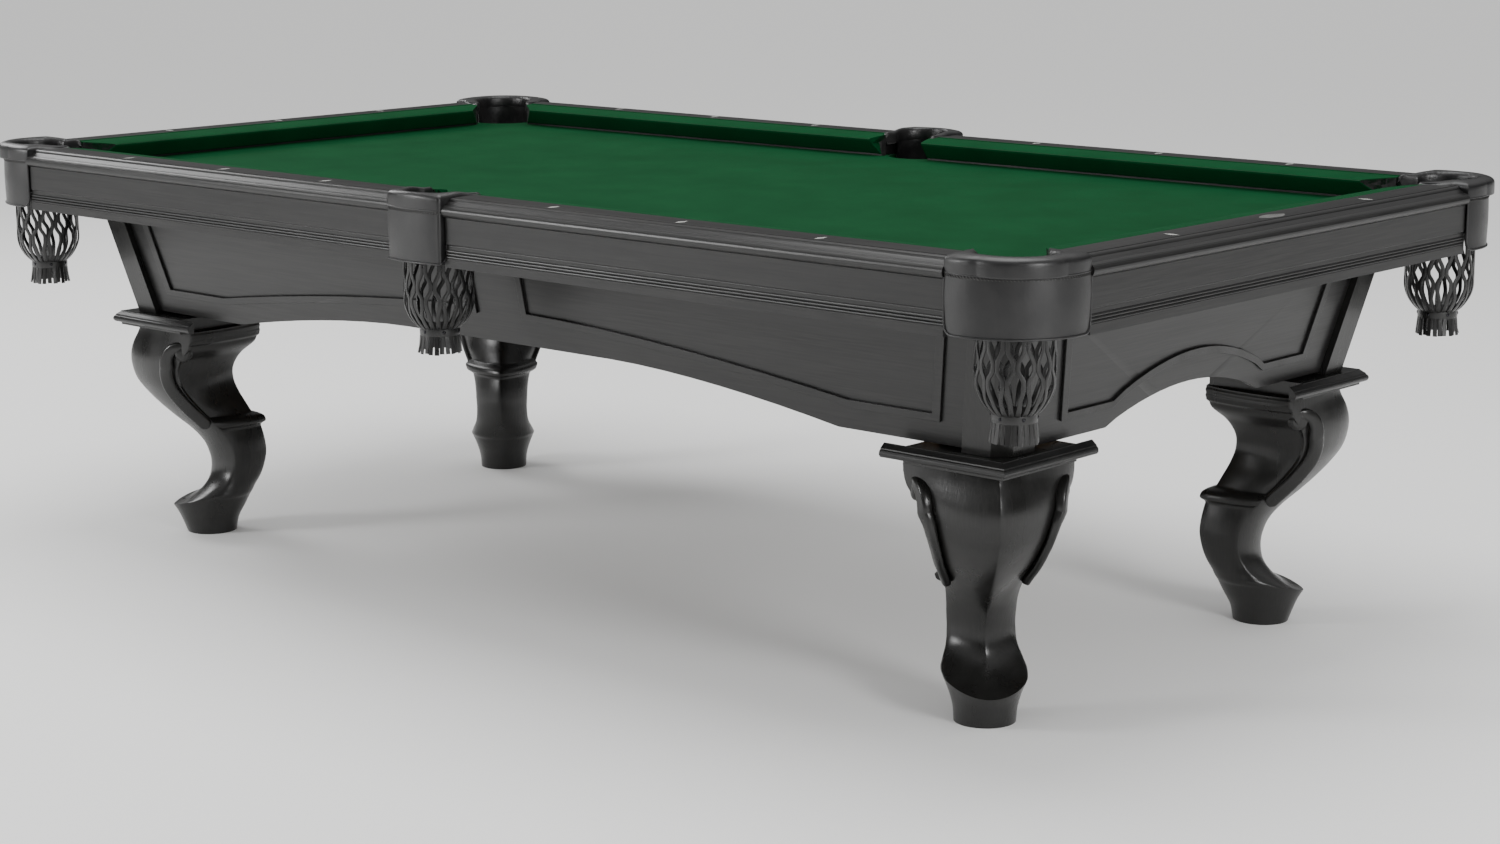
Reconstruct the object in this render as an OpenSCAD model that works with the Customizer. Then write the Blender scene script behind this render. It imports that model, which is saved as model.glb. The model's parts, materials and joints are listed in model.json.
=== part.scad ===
// Pool table with six drop pockets, on four scroll legs.
// Frame: origin on the floor under the centre, +X along the length, +Z up. Millimetres.

/* [Playing surface] */
// Length between the cushion noses
play_l = 2235; // [1980:5:2540]
// Width between the cushion noses
play_w = 1118; // [990:2:1270]
// Height of the rail tops above the floor
rail_top = 767; // [740:1:820]
// Height of the rail tops above the bed cloth
rail_rise = 43; // [40:0.5:46]
// Thickness of the slate
slate_t = 25; // [19:0.5:30]
// How far the slate runs out past the cushion noses
slate_over = 96; // [90:1:102]
// Thickness of the cloth
cloth_t = 1; // [0.8:0.1:1.5]

/* [Rails] */
// From the cushion nose to the outer edge of the rail
rail_w = 134; // [130:1:145]
// Depth of the cushion rubber behind its nose
rubber_w = 30; // [26:1:34]
// Height of the cushion nose above the bed cloth
nose_h = 36; // [34:0.5:38]
// From the nose to the feather strip that holds the cloth
feather_q = 53; // [48:1:58]
// Width of the feather strip
feather_w = 4; // [3:0.5:6]
// Depth of the feather strip in its groove
feather_d = 7; // [5:0.5:10]
// Thickness of the fascia board under each rail
fascia_t = 20; // [16:1:22]
// Height of the fascia board
fascia_h = 82; // [70:1:90]
// Radius of the rounded outer edge of the rail
bull_r = 10; // [7:0.5:12]
// Length of a sight, measured across the rail
sight_l = 30; // [20:1:36]
// Width of a sight
sight_w = 12; // [8:1:14]
// Depth of a sight and of the nameplate in the rail
sight_t = 1.5; // [1:0.1:3]
// From the nose to the middle of the sights
sight_q = 87; // [78:1:94]

/* [Pockets] */
// Width of a corner mouth between the cushion noses
corner_mouth = 124; // [115:1:130]
// Width of a side mouth between the cushion noses
side_mouth = 130; // [125:1:136]
// Radius of the hole inside a corner pocket
hole_r = 58; // [54:0.5:60]
// Half the width of the hole inside a side pocket
side_hole_r = 52; // [48:0.5:54]
// Wall of the pocket leather
leather_t = 3; // [2:0.25:4]
// Height of the padded roll on top of a pocket
roll_h = 27; // [22:1:32]
// How far the padded roll stands above the rail tops
roll_up = 8; // [4:1:12]
// Drop of the leather apron below the roll
apron_h = 90; // [70:1:100]
// Radius of the leather net at its bulge
net_r = 59; // [55:0.5:60]
// Drop of the net from its top ring to its tied neck
net_h = 148; // [130:1:160]
// Drop of the fringe below the tied neck
fringe_h = 42; // [30:1:50]

/* [Cabinet] */
// How far the foot of the cabinet stands in from the noses of the end cushions
cab_in_x = 56; // [40:1:90]
// How far the foot of the cabinet stands in from the noses of the long cushions
cab_in_y = 66; // [40:1:90]
// Outward lean of the cabinet sides, as run over rise
cab_lean = 0.215; // [0:0.005:0.24]
// Height of the foot of the posts above the floor
post_z = 441; // [420:1:460]
// Width of a corner post on each face
post_w = 78; // [60:1:90]
// Chamfer down the corner of a post
post_chamfer = 24; // [0:1:40]
// Set-back of the panels behind the posts
panel_back = 12; // [6:1:14]
// Thickness of the cabinet panels
panel_t = 19; // [15:1:22]
// Rise of the arch under a long panel
long_arch = 52; // [30:1:70]
// Rise of the arch under an end panel
end_arch = 46; // [30:1:70]
// Thickness of the frame beams
beam_t = 38; // [30:1:42]
// Height of the frame beams
beam_h = 138; // [100:1:150]

/* [Legs] */
// How far the foot centres stand in from the ends of the cabinet
foot_in_x = 100; // [85:1:120]
// How far the foot centres stand in from the sides of the cabinet
foot_in_y = 96; // [85:1:120]
// Side of the square block at the top of a leg
block_w = 185; // [160:1:190]
// Length of each arm of a leg cap
cap_l = 240; // [200:1:250]
// Height of a leg cap
cap_h = 22; // [16:1:26]
// Side of the square tenon that stands up inside the cabinet
tenon_w = 106; // [80:1:108]
// Radius of the bolts that hold the legs
leg_bolt_r = 6; // [4:0.5:8]

/* [Hidden] */
$fn = 64;
HALF_L = play_l / 2;
HALF_W = play_w / 2;
bed_z = rail_top - rail_rise;
slate_z1 = bed_z - cloth_t;
slate_z0 = slate_z1 - slate_t;
gap = 0.5;

// Facing angles, measured from the nose line, and the slopes they give
corner_slope = 1 / tan(38);
side_slope = tan(14);
corner_reach = corner_mouth / sqrt(2);

// Corner pocket: centre on both axes from the nose corner, and the cut in the rails
leather_band = 28;
pocket_in = 47.5;
pocket_u = pocket_in * sqrt(2);
corner_cut_r = hole_r + leather_band;
end_back = 18;
cut_q = 60;
lobe_half = (rail_w - 4 + end_back) / sqrt(2);
lobe_u0 = (rail_w - 4 - end_back) / sqrt(2);
lobe_u1 = lobe_u0 + 63;
lobe_r = (pow(lobe_half, 2) + pow(lobe_u1 - lobe_u0, 2)) / (2 * (lobe_u1 - lobe_u0));
far = 150;
away = 50;

// Side pocket: centre behind the nose line, half width of the leather
side_q = 84;
side_q0 = 38;
side_root = 30;
side_end = side_hole_r + 12;
side_bulge = 10;
side_front_q = rail_w + 13;
side_front_r = (pow(side_end, 2) + pow(side_bulge, 2)) / (2 * side_bulge);

roll_z1 = rail_top + roll_up;
roll_z0 = roll_z1 - roll_h;
net_z1 = slate_z0 - 8;

fascia_q1 = rail_w - 7;
fascia_q0 = fascia_q1 - fascia_t;
fascia_z1 = rail_top - 31;
fascia_z0 = fascia_z1 - fascia_h;

// Rail bolts: their line behind the nose, and how far they keep from the ends of a rail
bolt_q = 74;
bolt_clear = 80;
end_bolt_share = 0.66;
rail_bolt_r = 5;

// Oval plate: radius of its two arcs and half its width
plate_r = 52;
plate_half = 14;

// Pocket irons: how far they stay inside the leather on each side
iron_in = 6;
iron_rim = 5;
iron_hole = 7;
iron_mouth = 6;
iron_front = 4;
side_iron_rim = 3.5;
side_iron_hole = 4;
side_iron_q0 = 46;

// Studs from the irons into the rails
stud_r = 4;
stud_z = roll_z0 + roll_h / 2 - 4;
stud_in = 20;
stud_l = 65;
side_stud_in = 7;
side_stud_l = 55;

// Slate screws, from the long beams and from the end beams
screw_r = 3;
screw_head = 3;
screw_in = 40;

beam_z0 = slate_z0 - beam_h;
inner_back = panel_back + panel_t;
cab_x = HALF_L - cab_in_x;
cab_y = HALF_W - cab_in_y;
foot_x = cab_x - foot_in_x;
foot_y = cab_y - foot_in_y;
beam_y1 = cab_y + cab_lean * (beam_z0 - post_z) - inner_back;
beam_x1 = cab_x + cab_lean * (beam_z0 - post_z) - inner_back;
slate_l = play_l + 2 * slate_over;
slate_w = play_w + 2 * slate_over;
joint_x = slate_l / 6;
post_h = slate_z0 - post_z;
lean_angle = atan(cab_lean);
slant = 1 / cos(lean_angle);

// Panels: lower edge above the foot of the posts, where the arch starts and ends
panel_y0 = 5;
long_flat_x = cab_x - 327;
long_mid_x = 250;
end_flat_x = cab_y - 277;
long_ease = 1.7;
end_ease = 0.8;

// Raised moulding on the panels, and its distance from the panel edges
strip_w = 13;
strip_t = 5;
strip_x0 = 56;
strip_x1 = cab_x - 118;
strip_kink = cab_x - 294;
strip_foot = 38;
end_strip_foot = 33;
strip_head = 60;
strip_rise = 62;
strip_ease = 1.6;
end_strip_x = cab_y - 144;
end_strip_rise = 57;

// Legs: the block's centre stands outside the foot's centre
block_c = 18;
leg_top_z = post_z - 21;
leg_rings = 35;
leg_pts = 20;
leg_bolt_off = 20;
leg_bolt_z = 35;
leg_bolt_in = 60;
cap_out = 14;

SIDES = [[-1, -1], [1, -1], [-1, 1], [1, 1]];
ENDS = [-1, 1];

// ---------- placing ----------

// Children drawn with +X along the rail and +Y outward from the nose line
module long_side(sx, sy) {
  scale_x(sx) scale_y(sy) translate([0, HALF_W, 0]) children();
}

module end_side(sx) {
  scale_x(sx) translate([HALF_L, 0, 0]) rotate([0, 0, -90]) children();
}

// Children drawn with +X along the outward diagonal from the nose corner
module at_corner(sx, sy) {
  nose_corner(sx, sy) rotate([0, 0, 45]) children();
}

// Children drawn outward from the nose corner along +X and +Y
module nose_corner(sx, sy) {
  scale_x(sx) scale_y(sy) translate([HALF_L, HALF_W, 0]) children();
}

module scale_x(s) {
  if (s < 0) mirror([1, 0, 0]) children();
  else children();
}

module scale_y(s) {
  if (s < 0) mirror([0, 1, 0]) children();
  else children();
}

function arc(cx, cy, r, a0, a1, n) =
  [for (i = [0:n]) let (a = a0 + (a1 - a0) * i / n) [cx + r * cos(a), cy + r * sin(a)]];

// ---------- rail outlines, seen from above ----------

// Space of a corner pocket at the end of a rail whose nose corner is at the origin
module corner_mouth_2d(reach) {
  polygon([
    [-corner_reach - corner_slope * 2, -2],
    [-corner_reach + corner_slope * cut_q, cut_q],
    [reach, cut_q],
    [reach, -2]
  ]);
}

module corner_cut_2d() {
  corner_mouth_2d(200);
  translate([pocket_in, pocket_in]) circle(r = corner_cut_r);
  translate([-end_back, cut_q]) square(200);
}

module side_mouth_2d() {
  polygon([
    [-1, -2],
    [side_mouth / 2 + side_slope * 2, -2],
    [side_mouth / 2 - side_slope * cut_q, cut_q],
    [-1, cut_q]
  ]);
}

module side_cut_2d() {
  side_mouth_2d();
  translate([-1, 40]) square([side_end + gap + 1, 140]);
}

module long_rail_2d() {
  difference() {
    square([HALF_L + 100, rail_w]);
    side_cut_2d();
    translate([HALF_L, 0]) corner_cut_2d();
  }
}

module end_rail_2d() {
  difference() {
    translate([-HALF_W - 100, 0]) square([2 * HALF_W + 200, rail_w]);
    for (s = ENDS) scale_x(s) translate([HALF_W, 0]) corner_cut_2d();
  }
}

// A cross-section in (outward, up) carried along X over the whole rail
module along(half) {
  translate([-half, 0, 0]) rotate([90, 0, 90]) linear_extrude(height = 2 * half) children();
}

// ---------- cross-sections: X is outward from the nose, Y is up from the floor ----------

module rail_section() {
  bull_x = rail_w - bull_r;
  bull_y = rail_top - 11 - bull_r;
  polygon(concat(
    [[rubber_w, bed_z], [rubber_w, rail_top - 3], [feather_q, rail_top - 1.5]],
    [[feather_q, rail_top - feather_d], [feather_q + feather_w, rail_top - feather_d]],
    [[feather_q + feather_w, rail_top], [rail_w - 30, rail_top], [rail_w - 29, rail_top - 1.5]],
    [[rail_w - 27, rail_top - 1.5], [rail_w - 26, rail_top - 0.5]],
    arc(rail_w - 26, rail_top - 7.5, 7, 90, 15, 5),
    arc(bull_x, bull_y, bull_r, 100, -90, 12),
    [[fascia_q0, fascia_z1], [fascia_q0, bed_z]]
  ));
}

module rubber_section() {
  nose_z = bed_z + nose_h;
  polygon([
    [rubber_w, rail_top - 3 - cloth_t],
    [4, nose_z + 1.5 - cloth_t],
    [cloth_t, nose_z - cloth_t],
    [cloth_t, nose_z - 3],
    [7, nose_z - 9],
    [rubber_w, bed_z + 5]
  ]);
}

module cushion_cloth_section() {
  nose_z = bed_z + nose_h;
  difference() {
    polygon([
      [feather_q, rail_top - 1.5 + cloth_t],
      [rubber_w, rail_top - 3 + cloth_t * 0.4],
      [4, nose_z + 1.5],
      [0, nose_z],
      [0, nose_z - 3],
      [6, nose_z - 10],
      [rubber_w, bed_z + 3],
      [rubber_w, bed_z + 5],
      [rubber_w, rail_top - 3],
      [feather_q, rail_top - 1.5]
    ]);
    rubber_section();
  }
}

module fascia_section() {
  groove_y = fascia_z1 - 46;
  reed_r = 2.4;
  difference() {
    union() {
      translate([fascia_q0, fascia_z0]) square([fascia_t - reed_r, fascia_h]);
      translate([fascia_q1 - reed_r - 1, groove_y]) square([reed_r + 1, fascia_z1 - groove_y]);
      translate([fascia_q1 - reed_r - 1, fascia_z0]) square([reed_r + 1, 15]);
      for (i = [0:2]) translate([fascia_q1 - reed_r, groove_y - 9 - 5 * i]) circle(r = reed_r, $fn = 12);
    }
    translate([fascia_q1, groove_y]) circle(r = 2.5, $fn = 12);
  }
}

// ---------- slate and cloth ----------

module bed_outline() {
  difference() {
    square([slate_l, slate_w], center = true);
    for (s = SIDES) scale_x(s[0]) scale_y(s[1]) translate([HALF_L, HALF_W]) {
      translate([pocket_in, pocket_in]) circle(r = hole_r + leather_t + 1 + gap);
      translate([pocket_in, pocket_in]) square(100);
    }
    for (s = ENDS) scale_y(s) translate([0, HALF_W + side_q]) {
      circle(r = side_end + 1);
    }
  }
}

module slate_piece(x0, x1) {
  color("slategray") difference() {
    translate([0, 0, slate_z0]) intersection() {
      linear_extrude(height = slate_t) bed_outline();
      translate([x0 + gap / 2, -slate_w, -1]) cube([x1 - x0 - gap, 2 * slate_w, slate_t + 2]);
    }
    rail_bolt_places() translate([0, 0, slate_z0 - 1]) cylinder(r = rail_bolt_r + 1, h = slate_t + 2);
    slate_screw_places() translate([0, 0, slate_z0 - 1]) cylinder(r = screw_r, h = slate_t + 2);
    slate_screw_places() translate([0, 0, slate_z1 - screw_head])
      cylinder(r1 = screw_r, r2 = screw_r + 3, h = screw_head + 0.01);
  }
}

module slate_left() { slate_piece(-slate_l / 2 - gap, -joint_x); }
module slate_middle() { slate_piece(-joint_x, joint_x); }
module slate_right() { slate_piece(joint_x, slate_l / 2 + gap); }

module bed_cloth() {
  color("darkgreen") difference() {
    translate([0, 0, slate_z1]) linear_extrude(height = cloth_t) bed_outline();
    rail_bolt_places() translate([0, 0, slate_z1 - 1]) cylinder(r = rail_bolt_r + 1, h = cloth_t + 2);
  }
}

// ---------- rails ----------

module rail_bolt_places() {
  long_step = (HALF_L - 2 * bolt_clear) / 3;
  end_step = (HALF_W - bolt_clear) * end_bolt_share;
  for (s = SIDES) long_side(s[0], s[1])
    for (i = [0:2]) translate([bolt_clear + long_step * (i + 0.5), bolt_q, 0]) children();
  for (s = ENDS) end_side(s)
    for (i = [-1:1]) translate([i * end_step, bolt_q, 0]) children();
}

module sight_places() {
  for (s = SIDES) long_side(s[0], s[1])
    for (i = [1:3]) translate([i * play_l / 8, sight_q, 0]) children();
  for (s = ENDS) end_side(s)
    for (i = [-1:1]) if (i != 0 || s < 0) translate([i * play_w / 4, sight_q, 0]) children();
}

module sight_2d() {
  polygon([[sight_w / 2, 0], [0, sight_l / 2], [-sight_w / 2, 0], [0, -sight_l / 2]]);
}

module plate_2d() {
  intersection() {
    translate([0, plate_half - plate_r]) circle(r = plate_r);
    translate([0, plate_r - plate_half]) circle(r = plate_r);
  }
}

module nameplate_place() {
  end_side(1) translate([0, sight_q - 2, 0]) children();
}

module rail_fittings() {
  rail_bolt_places() cylinder(r = rail_bolt_r, h = rail_top - 12);
  pocket_bolts();
  sight_places() translate([0, 0, rail_top - sight_t]) linear_extrude(height = 5) sight_2d();
  nameplate_place() translate([0, 0, rail_top - sight_t]) linear_extrude(height = 5) plate_2d();
}

module long_rail(sx, sy) {
  color("#2b2b2b") difference() {
    long_side(sx, sy) intersection() {
      along(HALF_L) rail_section();
      translate([0, 0, bed_z - 1]) linear_extrude(height = 60) long_rail_2d();
    }
    rail_fittings();
  }
}

module end_rail(sx) {
  color("#2b2b2b") difference() {
    end_side(sx) intersection() {
      along(HALF_W) rail_section();
      translate([0, 0, bed_z - 1]) linear_extrude(height = 60) end_rail_2d();
    }
    rail_fittings();
  }
}

module rail_front_left() { long_rail(-1, -1); }
module rail_front_right() { long_rail(1, -1); }
module rail_back_left() { long_rail(-1, 1); }
module rail_back_right() { long_rail(1, 1); }
module rail_end_left() { end_rail(-1); }
module rail_end_right() { end_rail(1); }

module long_strip(sx, sy) {
  long_side(sx, sy) intersection() {
    along(HALF_L) children();
    translate([0, 0, bed_z - 1]) linear_extrude(height = 60) long_rail_2d();
  }
}

module end_strip(sx) {
  end_side(sx) intersection() {
    along(HALF_W) children();
    translate([0, 0, bed_z - 1]) linear_extrude(height = 60) end_rail_2d();
  }
}

module long_cushion(sx, sy) { color("#1c1c1c") long_strip(sx, sy) rubber_section(); }
module end_cushion(sx) { color("#1c1c1c") end_strip(sx) rubber_section(); }

module cushion_front_left() { long_cushion(-1, -1); }
module cushion_front_right() { long_cushion(1, -1); }
module cushion_back_left() { long_cushion(-1, 1); }
module cushion_back_right() { long_cushion(1, 1); }
module cushion_end_left() { end_cushion(-1); }
module cushion_end_right() { end_cushion(1); }

module cushion_cloths() {
  color("green") {
    for (s = SIDES) long_strip(s[0], s[1]) cushion_cloth_section();
    for (s = ENDS) end_strip(s) cushion_cloth_section();
  }
}

module feather_section() {
  translate([feather_q, rail_top - feather_d]) square([feather_w, feather_d]);
}

module feather_strips() {
  color("darkolivegreen") {
    for (s = SIDES) long_strip(s[0], s[1]) feather_section();
    for (s = ENDS) end_strip(s) feather_section();
  }
}

module sights() {
  color("white") sight_places() translate([0, 0, rail_top - sight_t])
    linear_extrude(height = sight_t) sight_2d();
}

module nameplate() {
  color("silver") nameplate_place() translate([0, 0, rail_top - sight_t])
    linear_extrude(height = sight_t) plate_2d();
}

// ---------- fascias ----------

module long_fascia(sx, sy) {
  x0 = side_end + 3;
  x1 = HALF_L - end_back - 2;
  color("#303030") long_side(sx, sy) translate([x0, 0, 0]) rotate([90, 0, 90])
    linear_extrude(height = x1 - x0) fascia_section();
}

module end_fascia(sx) {
  x1 = HALF_W - end_back - 2;
  color("#303030") end_side(sx) along(x1) fascia_section();
}

module fascia_front_left() { long_fascia(-1, -1); }
module fascia_front_right() { long_fascia(1, -1); }
module fascia_back_left() { long_fascia(-1, 1); }
module fascia_back_right() { long_fascia(1, 1); }
module fascia_end_left() { end_fascia(-1); }
module fascia_end_right() { end_fascia(1); }

// ---------- pockets ----------

// Corner mouth in the diagonal frame: the facings close in slowly towards the hole
function mouth_w(u) = corner_mouth / 2 - tan(7) * (u + corner_mouth / 2);

module diagonal_mouth_2d(extra) {
  polygon([
    [-far, mouth_w(-far) + extra],
    [pocket_u, mouth_w(pocket_u) + extra],
    [pocket_u, -mouth_w(pocket_u) - extra],
    [-far, -mouth_w(-far) - extra]
  ]);
}

// The quarter of the plan outside both rail ends
module corner_quarter_2d() {
  rotate(-45) translate([gap - end_back, gap - end_back]) square(2 * far);
}

// Outer outline of the apron: a wide arc that closes the cut corner
module corner_lobe_2d(inset) {
  intersection() {
    translate([lobe_u1 - lobe_r, 0]) circle(r = lobe_r - inset, $fn = 128);
    corner_quarter_2d();
  }
}

module corner_leather_2d() {
  difference() {
    union() {
      translate([pocket_u, 0]) circle(r = corner_cut_r - gap);
      difference() {
        corner_lobe_2d(0);
        translate([-far, -far]) square([far + pocket_u, 2 * far]);
      }
      corner_lobe_side_2d();
    }
    translate([pocket_u, 0]) circle(r = hole_r);
    diagonal_mouth_2d(0);
  }
}

// The two narrow ends of the lobe, beside the rail ends
module corner_lobe_side_2d() {
  edge = cut_q + gap;
  intersection() {
    corner_lobe_2d(0);
    rotate(-45) difference() {
      translate([gap - end_back, gap - end_back]) square(2 * far);
      translate([-away, -away]) square(away + edge);
    }
  }
}

module corner_iron_2d() {
  difference() {
    translate([pocket_u, 0]) circle(r = corner_cut_r - iron_rim);
    translate([pocket_u, 0]) circle(r = hole_r + iron_hole);
    diagonal_mouth_2d(iron_mouth);
    translate([lobe_u1 - lobe_r, 0]) difference() {
      circle(r = 3 * far);
      circle(r = lobe_r - iron_front, $fn = 128);
    }
  }
}

module iron_solid() {
  translate([0, 0, roll_z0 + iron_in]) linear_extrude(height = roll_h - 2 * iron_in) children();
}

// Studs that join the two ends of an iron to the rails on either side
module corner_stud() {
  translate([pocket_in - corner_cut_r + stud_in, bolt_q, stud_z])
    rotate([0, -90, 0]) cylinder(r = stud_r, h = stud_l);
}

module corner_studs() {
  corner_stud();
  mirror([1, -1, 0]) corner_stud();
}

module side_studs() {
  for (s = ENDS) scale_x(s) translate([side_end - side_stud_in, bolt_q, stud_z])
    rotate([0, 90, 0]) cylinder(r = stud_r, h = side_stud_l);
}

module roll_2d_up() {
  translate([0, 0, roll_z0]) linear_extrude(height = roll_h) children();
}

module apron_2d_up() {
  translate([0, 0, roll_z0 - apron_h]) linear_extrude(height = apron_h + 1) children();
}

module liner_2d_up() {
  translate([0, 0, net_z1]) linear_extrude(height = roll_z0 - net_z1 + 1) children();
}

module liner_ring_2d(r) {
  difference() {
    circle(r = r + 1 + leather_t);
    circle(r = r + 1);
  }
}

module corner_leather(sx, sy) {
  color("#1f1f1f") difference() {
    at_corner(sx, sy) union() {
      roll_2d_up() corner_leather_2d();
      apron_2d_up() difference() {
        corner_lobe_2d(1);
        corner_lobe_2d(leather_t + 3);
        translate([-far, -far]) square([far + lobe_u0 - 8, 2 * far]);
      }
      liner_2d_up() difference() {
        translate([pocket_u, 0]) liner_ring_2d(hole_r);
        diagonal_mouth_2d(4);
      }
    }
    at_corner(sx, sy) iron_solid() corner_iron_2d();
    nose_corner(sx, sy) corner_studs();
  }
}

module side_front_2d(inset) {
  intersection() {
    translate([0, side_front_q - side_front_r]) circle(r = side_front_r - inset, $fn = 128);
    translate([-side_end + inset, side_q0]) square([2 * (side_end - inset), 2 * far]);
  }
}

module side_leather_2d() {
  difference() {
    side_front_2d(0);
    side_hole_2d(0);
  }
}

module side_hole_2d(extra) {
  translate([0, side_q]) circle(r = side_hole_r + extra);
  polygon([
    [-mouth_half(side_root) - extra, side_root],
    [mouth_half(side_root) + extra, side_root],
    [side_hole_r + extra - 5, side_q],
    [-side_hole_r - extra + 5, side_q]
  ]);
}

function mouth_half(q) = side_mouth / 2 - side_slope * q;

module side_iron_2d() {
  difference() {
    side_front_2d(side_iron_rim);
    side_hole_2d(side_iron_hole);
    translate([-far, 0]) square([2 * far, side_iron_q0]);
  }
}

module side_leather(sy) {
  color("#1f1f1f") long_side(1, sy) difference() {
    union() {
      roll_2d_up() side_leather_2d();
      apron_2d_up() difference() {
        side_front_2d(1);
        side_front_2d(leather_t + 3);
        translate([-far, 0]) square([2 * far, rail_w - 12]);
      }
      liner_2d_up() difference() {
        translate([0, side_q]) liner_ring_2d(side_hole_r);
        translate([-far, -far]) square([2 * far, far + side_q - 10]);
      }
    }
    iron_solid() side_iron_2d();
    side_studs();
  }
}

module leather_front_left() { corner_leather(-1, -1); }
module leather_front_right() { corner_leather(1, -1); }
module leather_back_left() { corner_leather(-1, 1); }
module leather_back_right() { corner_leather(1, 1); }
module leather_front_middle() { side_leather(-1); }
module leather_back_middle() { side_leather(1); }

module pocket_irons() {
  color("dimgray") {
    for (s = SIDES) difference() {
      at_corner(s[0], s[1]) iron_solid() corner_iron_2d();
      nose_corner(s[0], s[1]) corner_studs();
    }
    for (s = ENDS) long_side(1, s) difference() {
      iron_solid() side_iron_2d();
      side_studs();
    }
  }
}

module pocket_bolts() {
  color("silver") {
    for (s = SIDES) nose_corner(s[0], s[1]) corner_studs();
    for (s = ENDS) long_side(1, s) side_studs();
  }
}

// Net: a leather bag closed at its tied neck, with a flared fringe below
module net_shell(r0) {
  neck_z = net_z1 - net_h;
  wall = leather_t;
  neck_r = 32;
  outer = concat(
    [[r0, net_z1], [net_r - 2, net_z1 - 40], [net_r - 1, net_z1 - 75]],
    [[net_r, net_z1 - 95], [net_r - 3, net_z1 - 112], [net_r - 12, net_z1 - 128]],
    [[neck_r + 4, net_z1 - 142], [neck_r, neck_z]]
  );
  inner = [for (i = [len(outer) - 1:-1:0]) [outer[i][0] - wall, outer[i][1] + (i == 0 ? 0 : 1)]];
  rotate_extrude($fn = 64) polygon(concat(outer, inner));
  translate([0, 0, neck_z - 4]) cylinder(r = neck_r, h = 5);
  rotate_extrude($fn = 64) polygon([
    [neck_r - wall, neck_z - 3],
    [neck_r, neck_z - 3],
    [neck_r + 5, neck_z - fringe_h],
    [neck_r + 5 - wall, neck_z - fringe_h]
  ]);
}

module corner_net(sx, sy) {
  color("#262626") at_corner(sx, sy) translate([pocket_u, 0, 0]) net_shell(hole_r + leather_t);
}

module side_net(sy) {
  color("#262626") long_side(1, sy) translate([0, side_q, 0]) net_shell(side_hole_r + leather_t);
}

module net_front_left() { corner_net(-1, -1); }
module net_front_right() { corner_net(1, -1); }
module net_back_left() { corner_net(-1, 1); }
module net_back_right() { corner_net(1, 1); }
module net_front_middle() { side_net(-1); }
module net_back_middle() { side_net(1); }

// ---------- cabinet ----------

// Drawn flat: X along the side, Y up the slope from the foot of the posts, Z outward
module on_long_face(sy) {
  scale_y(sy) translate([0, cab_y - panel_back, post_z]) rotate([90 - lean_angle, 0, 0])
    mirror([0, 0, 1]) children();
}

module on_end_face(sx) {
  scale_x(sx) translate([cab_x - panel_back, 0, post_z]) rotate([0, 0, -90])
    rotate([90 - lean_angle, 0, 0]) mirror([0, 0, 1]) children();
}

// Lower edge of a long panel: flat ends, a slow rise, and a flat middle
function ease(t, power) = 1 - pow(1 - t, power);

function long_edge(half, y0) = let (x1 = long_flat_x, x2 = long_mid_x)
  concat(
    [[-half, y0], [-x1, y0]],
    [for (i = [0:8]) let (t = i / 8) [-x1 + (x1 - x2) * t, y0 + long_arch * ease(t, long_ease)]],
    [for (i = [8:-1:0]) let (t = i / 8) [x1 - (x1 - x2) * t, y0 + long_arch * ease(t, long_ease)]],
    [[x1, y0], [half, y0]]
  );

function end_edge(half, y0) = let (x1 = end_flat_x)
  concat(
    [[-half, y0]],
    [for (i = [0:16]) let (x = -x1 + 2 * x1 * i / 16) [x, y0 + end_arch * pow(cos(90 * x / x1), end_ease)]],
    [[half, y0]]
  );

module panel_2d(half, edge) {
  top = post_h * slant;
  polygon(concat(edge, [[half + post_h * cab_lean, top], [-half - post_h * cab_lean, top]]));
}

module long_panel(sy) {
  half = cab_x - post_w - gap;
  color("#2d2d2d") on_long_face(sy) translate([0, 0, -panel_t])
    linear_extrude(height = panel_t) panel_2d(half, long_edge(half + panel_y0 * cab_lean, panel_y0));
}

module end_panel(sx) {
  half = cab_y - post_w - gap;
  color("#2d2d2d") on_end_face(sx) translate([0, 0, -panel_t])
    linear_extrude(height = panel_t) panel_2d(half, end_edge(half + panel_y0 * cab_lean, panel_y0));
}

module cabinet_front() { long_panel(-1); }
module cabinet_back() { long_panel(1); }
module cabinet_left() { end_panel(-1); }
module cabinet_right() { end_panel(1); }

// Outlines of the raised mouldings; the inner one is inset by their width
function long_strip_pts(inset, y0) =
  let (xi = strip_x0 + inset, xo = strip_x1 - inset, yk = y0 + strip_foot + inset,
    yt = post_h * slant - strip_head - inset)
  concat(
    [[xo + (yt - yk) * cab_lean, yt], [xo, yk], [strip_kink, yk]],
    [for (i = [1:8]) let (t = i / 8)
      [strip_kink + (xi - strip_kink) * t, yk + strip_rise * ease(t, strip_ease)]],
    [[xi, yt]]
  );

function end_strip_pts(inset, y0) =
  let (x1 = end_flat_x, xo = end_strip_x - inset, yk = y0 + end_strip_foot + inset,
    yt = post_h * slant - strip_head - inset)
  concat(
    [[xo + (yt - yk) * cab_lean, yt], [xo, yk]],
    [for (i = [0:16]) let (x = x1 - 2 * x1 * i / 16)
      [x, yk + end_strip_rise * pow(max(0, cos(90 * x / x1)), end_ease)]],
    [[-xo, yk], [-xo - (yt - yk) * cab_lean, yt]]
  );

module panel_mouldings() {
  color("#3a3a3a") {
    for (s = ENDS) on_long_face(s) for (t = ENDS) scale_x(t)
      linear_extrude(height = strip_t) difference() {
        polygon(long_strip_pts(0, panel_y0));
        polygon(long_strip_pts(strip_w, panel_y0));
      }
    for (s = ENDS) on_end_face(s) linear_extrude(height = strip_t) difference() {
      polygon(end_strip_pts(0, panel_y0));
      polygon(end_strip_pts(strip_w, panel_y0));
    }
  }
}

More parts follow.
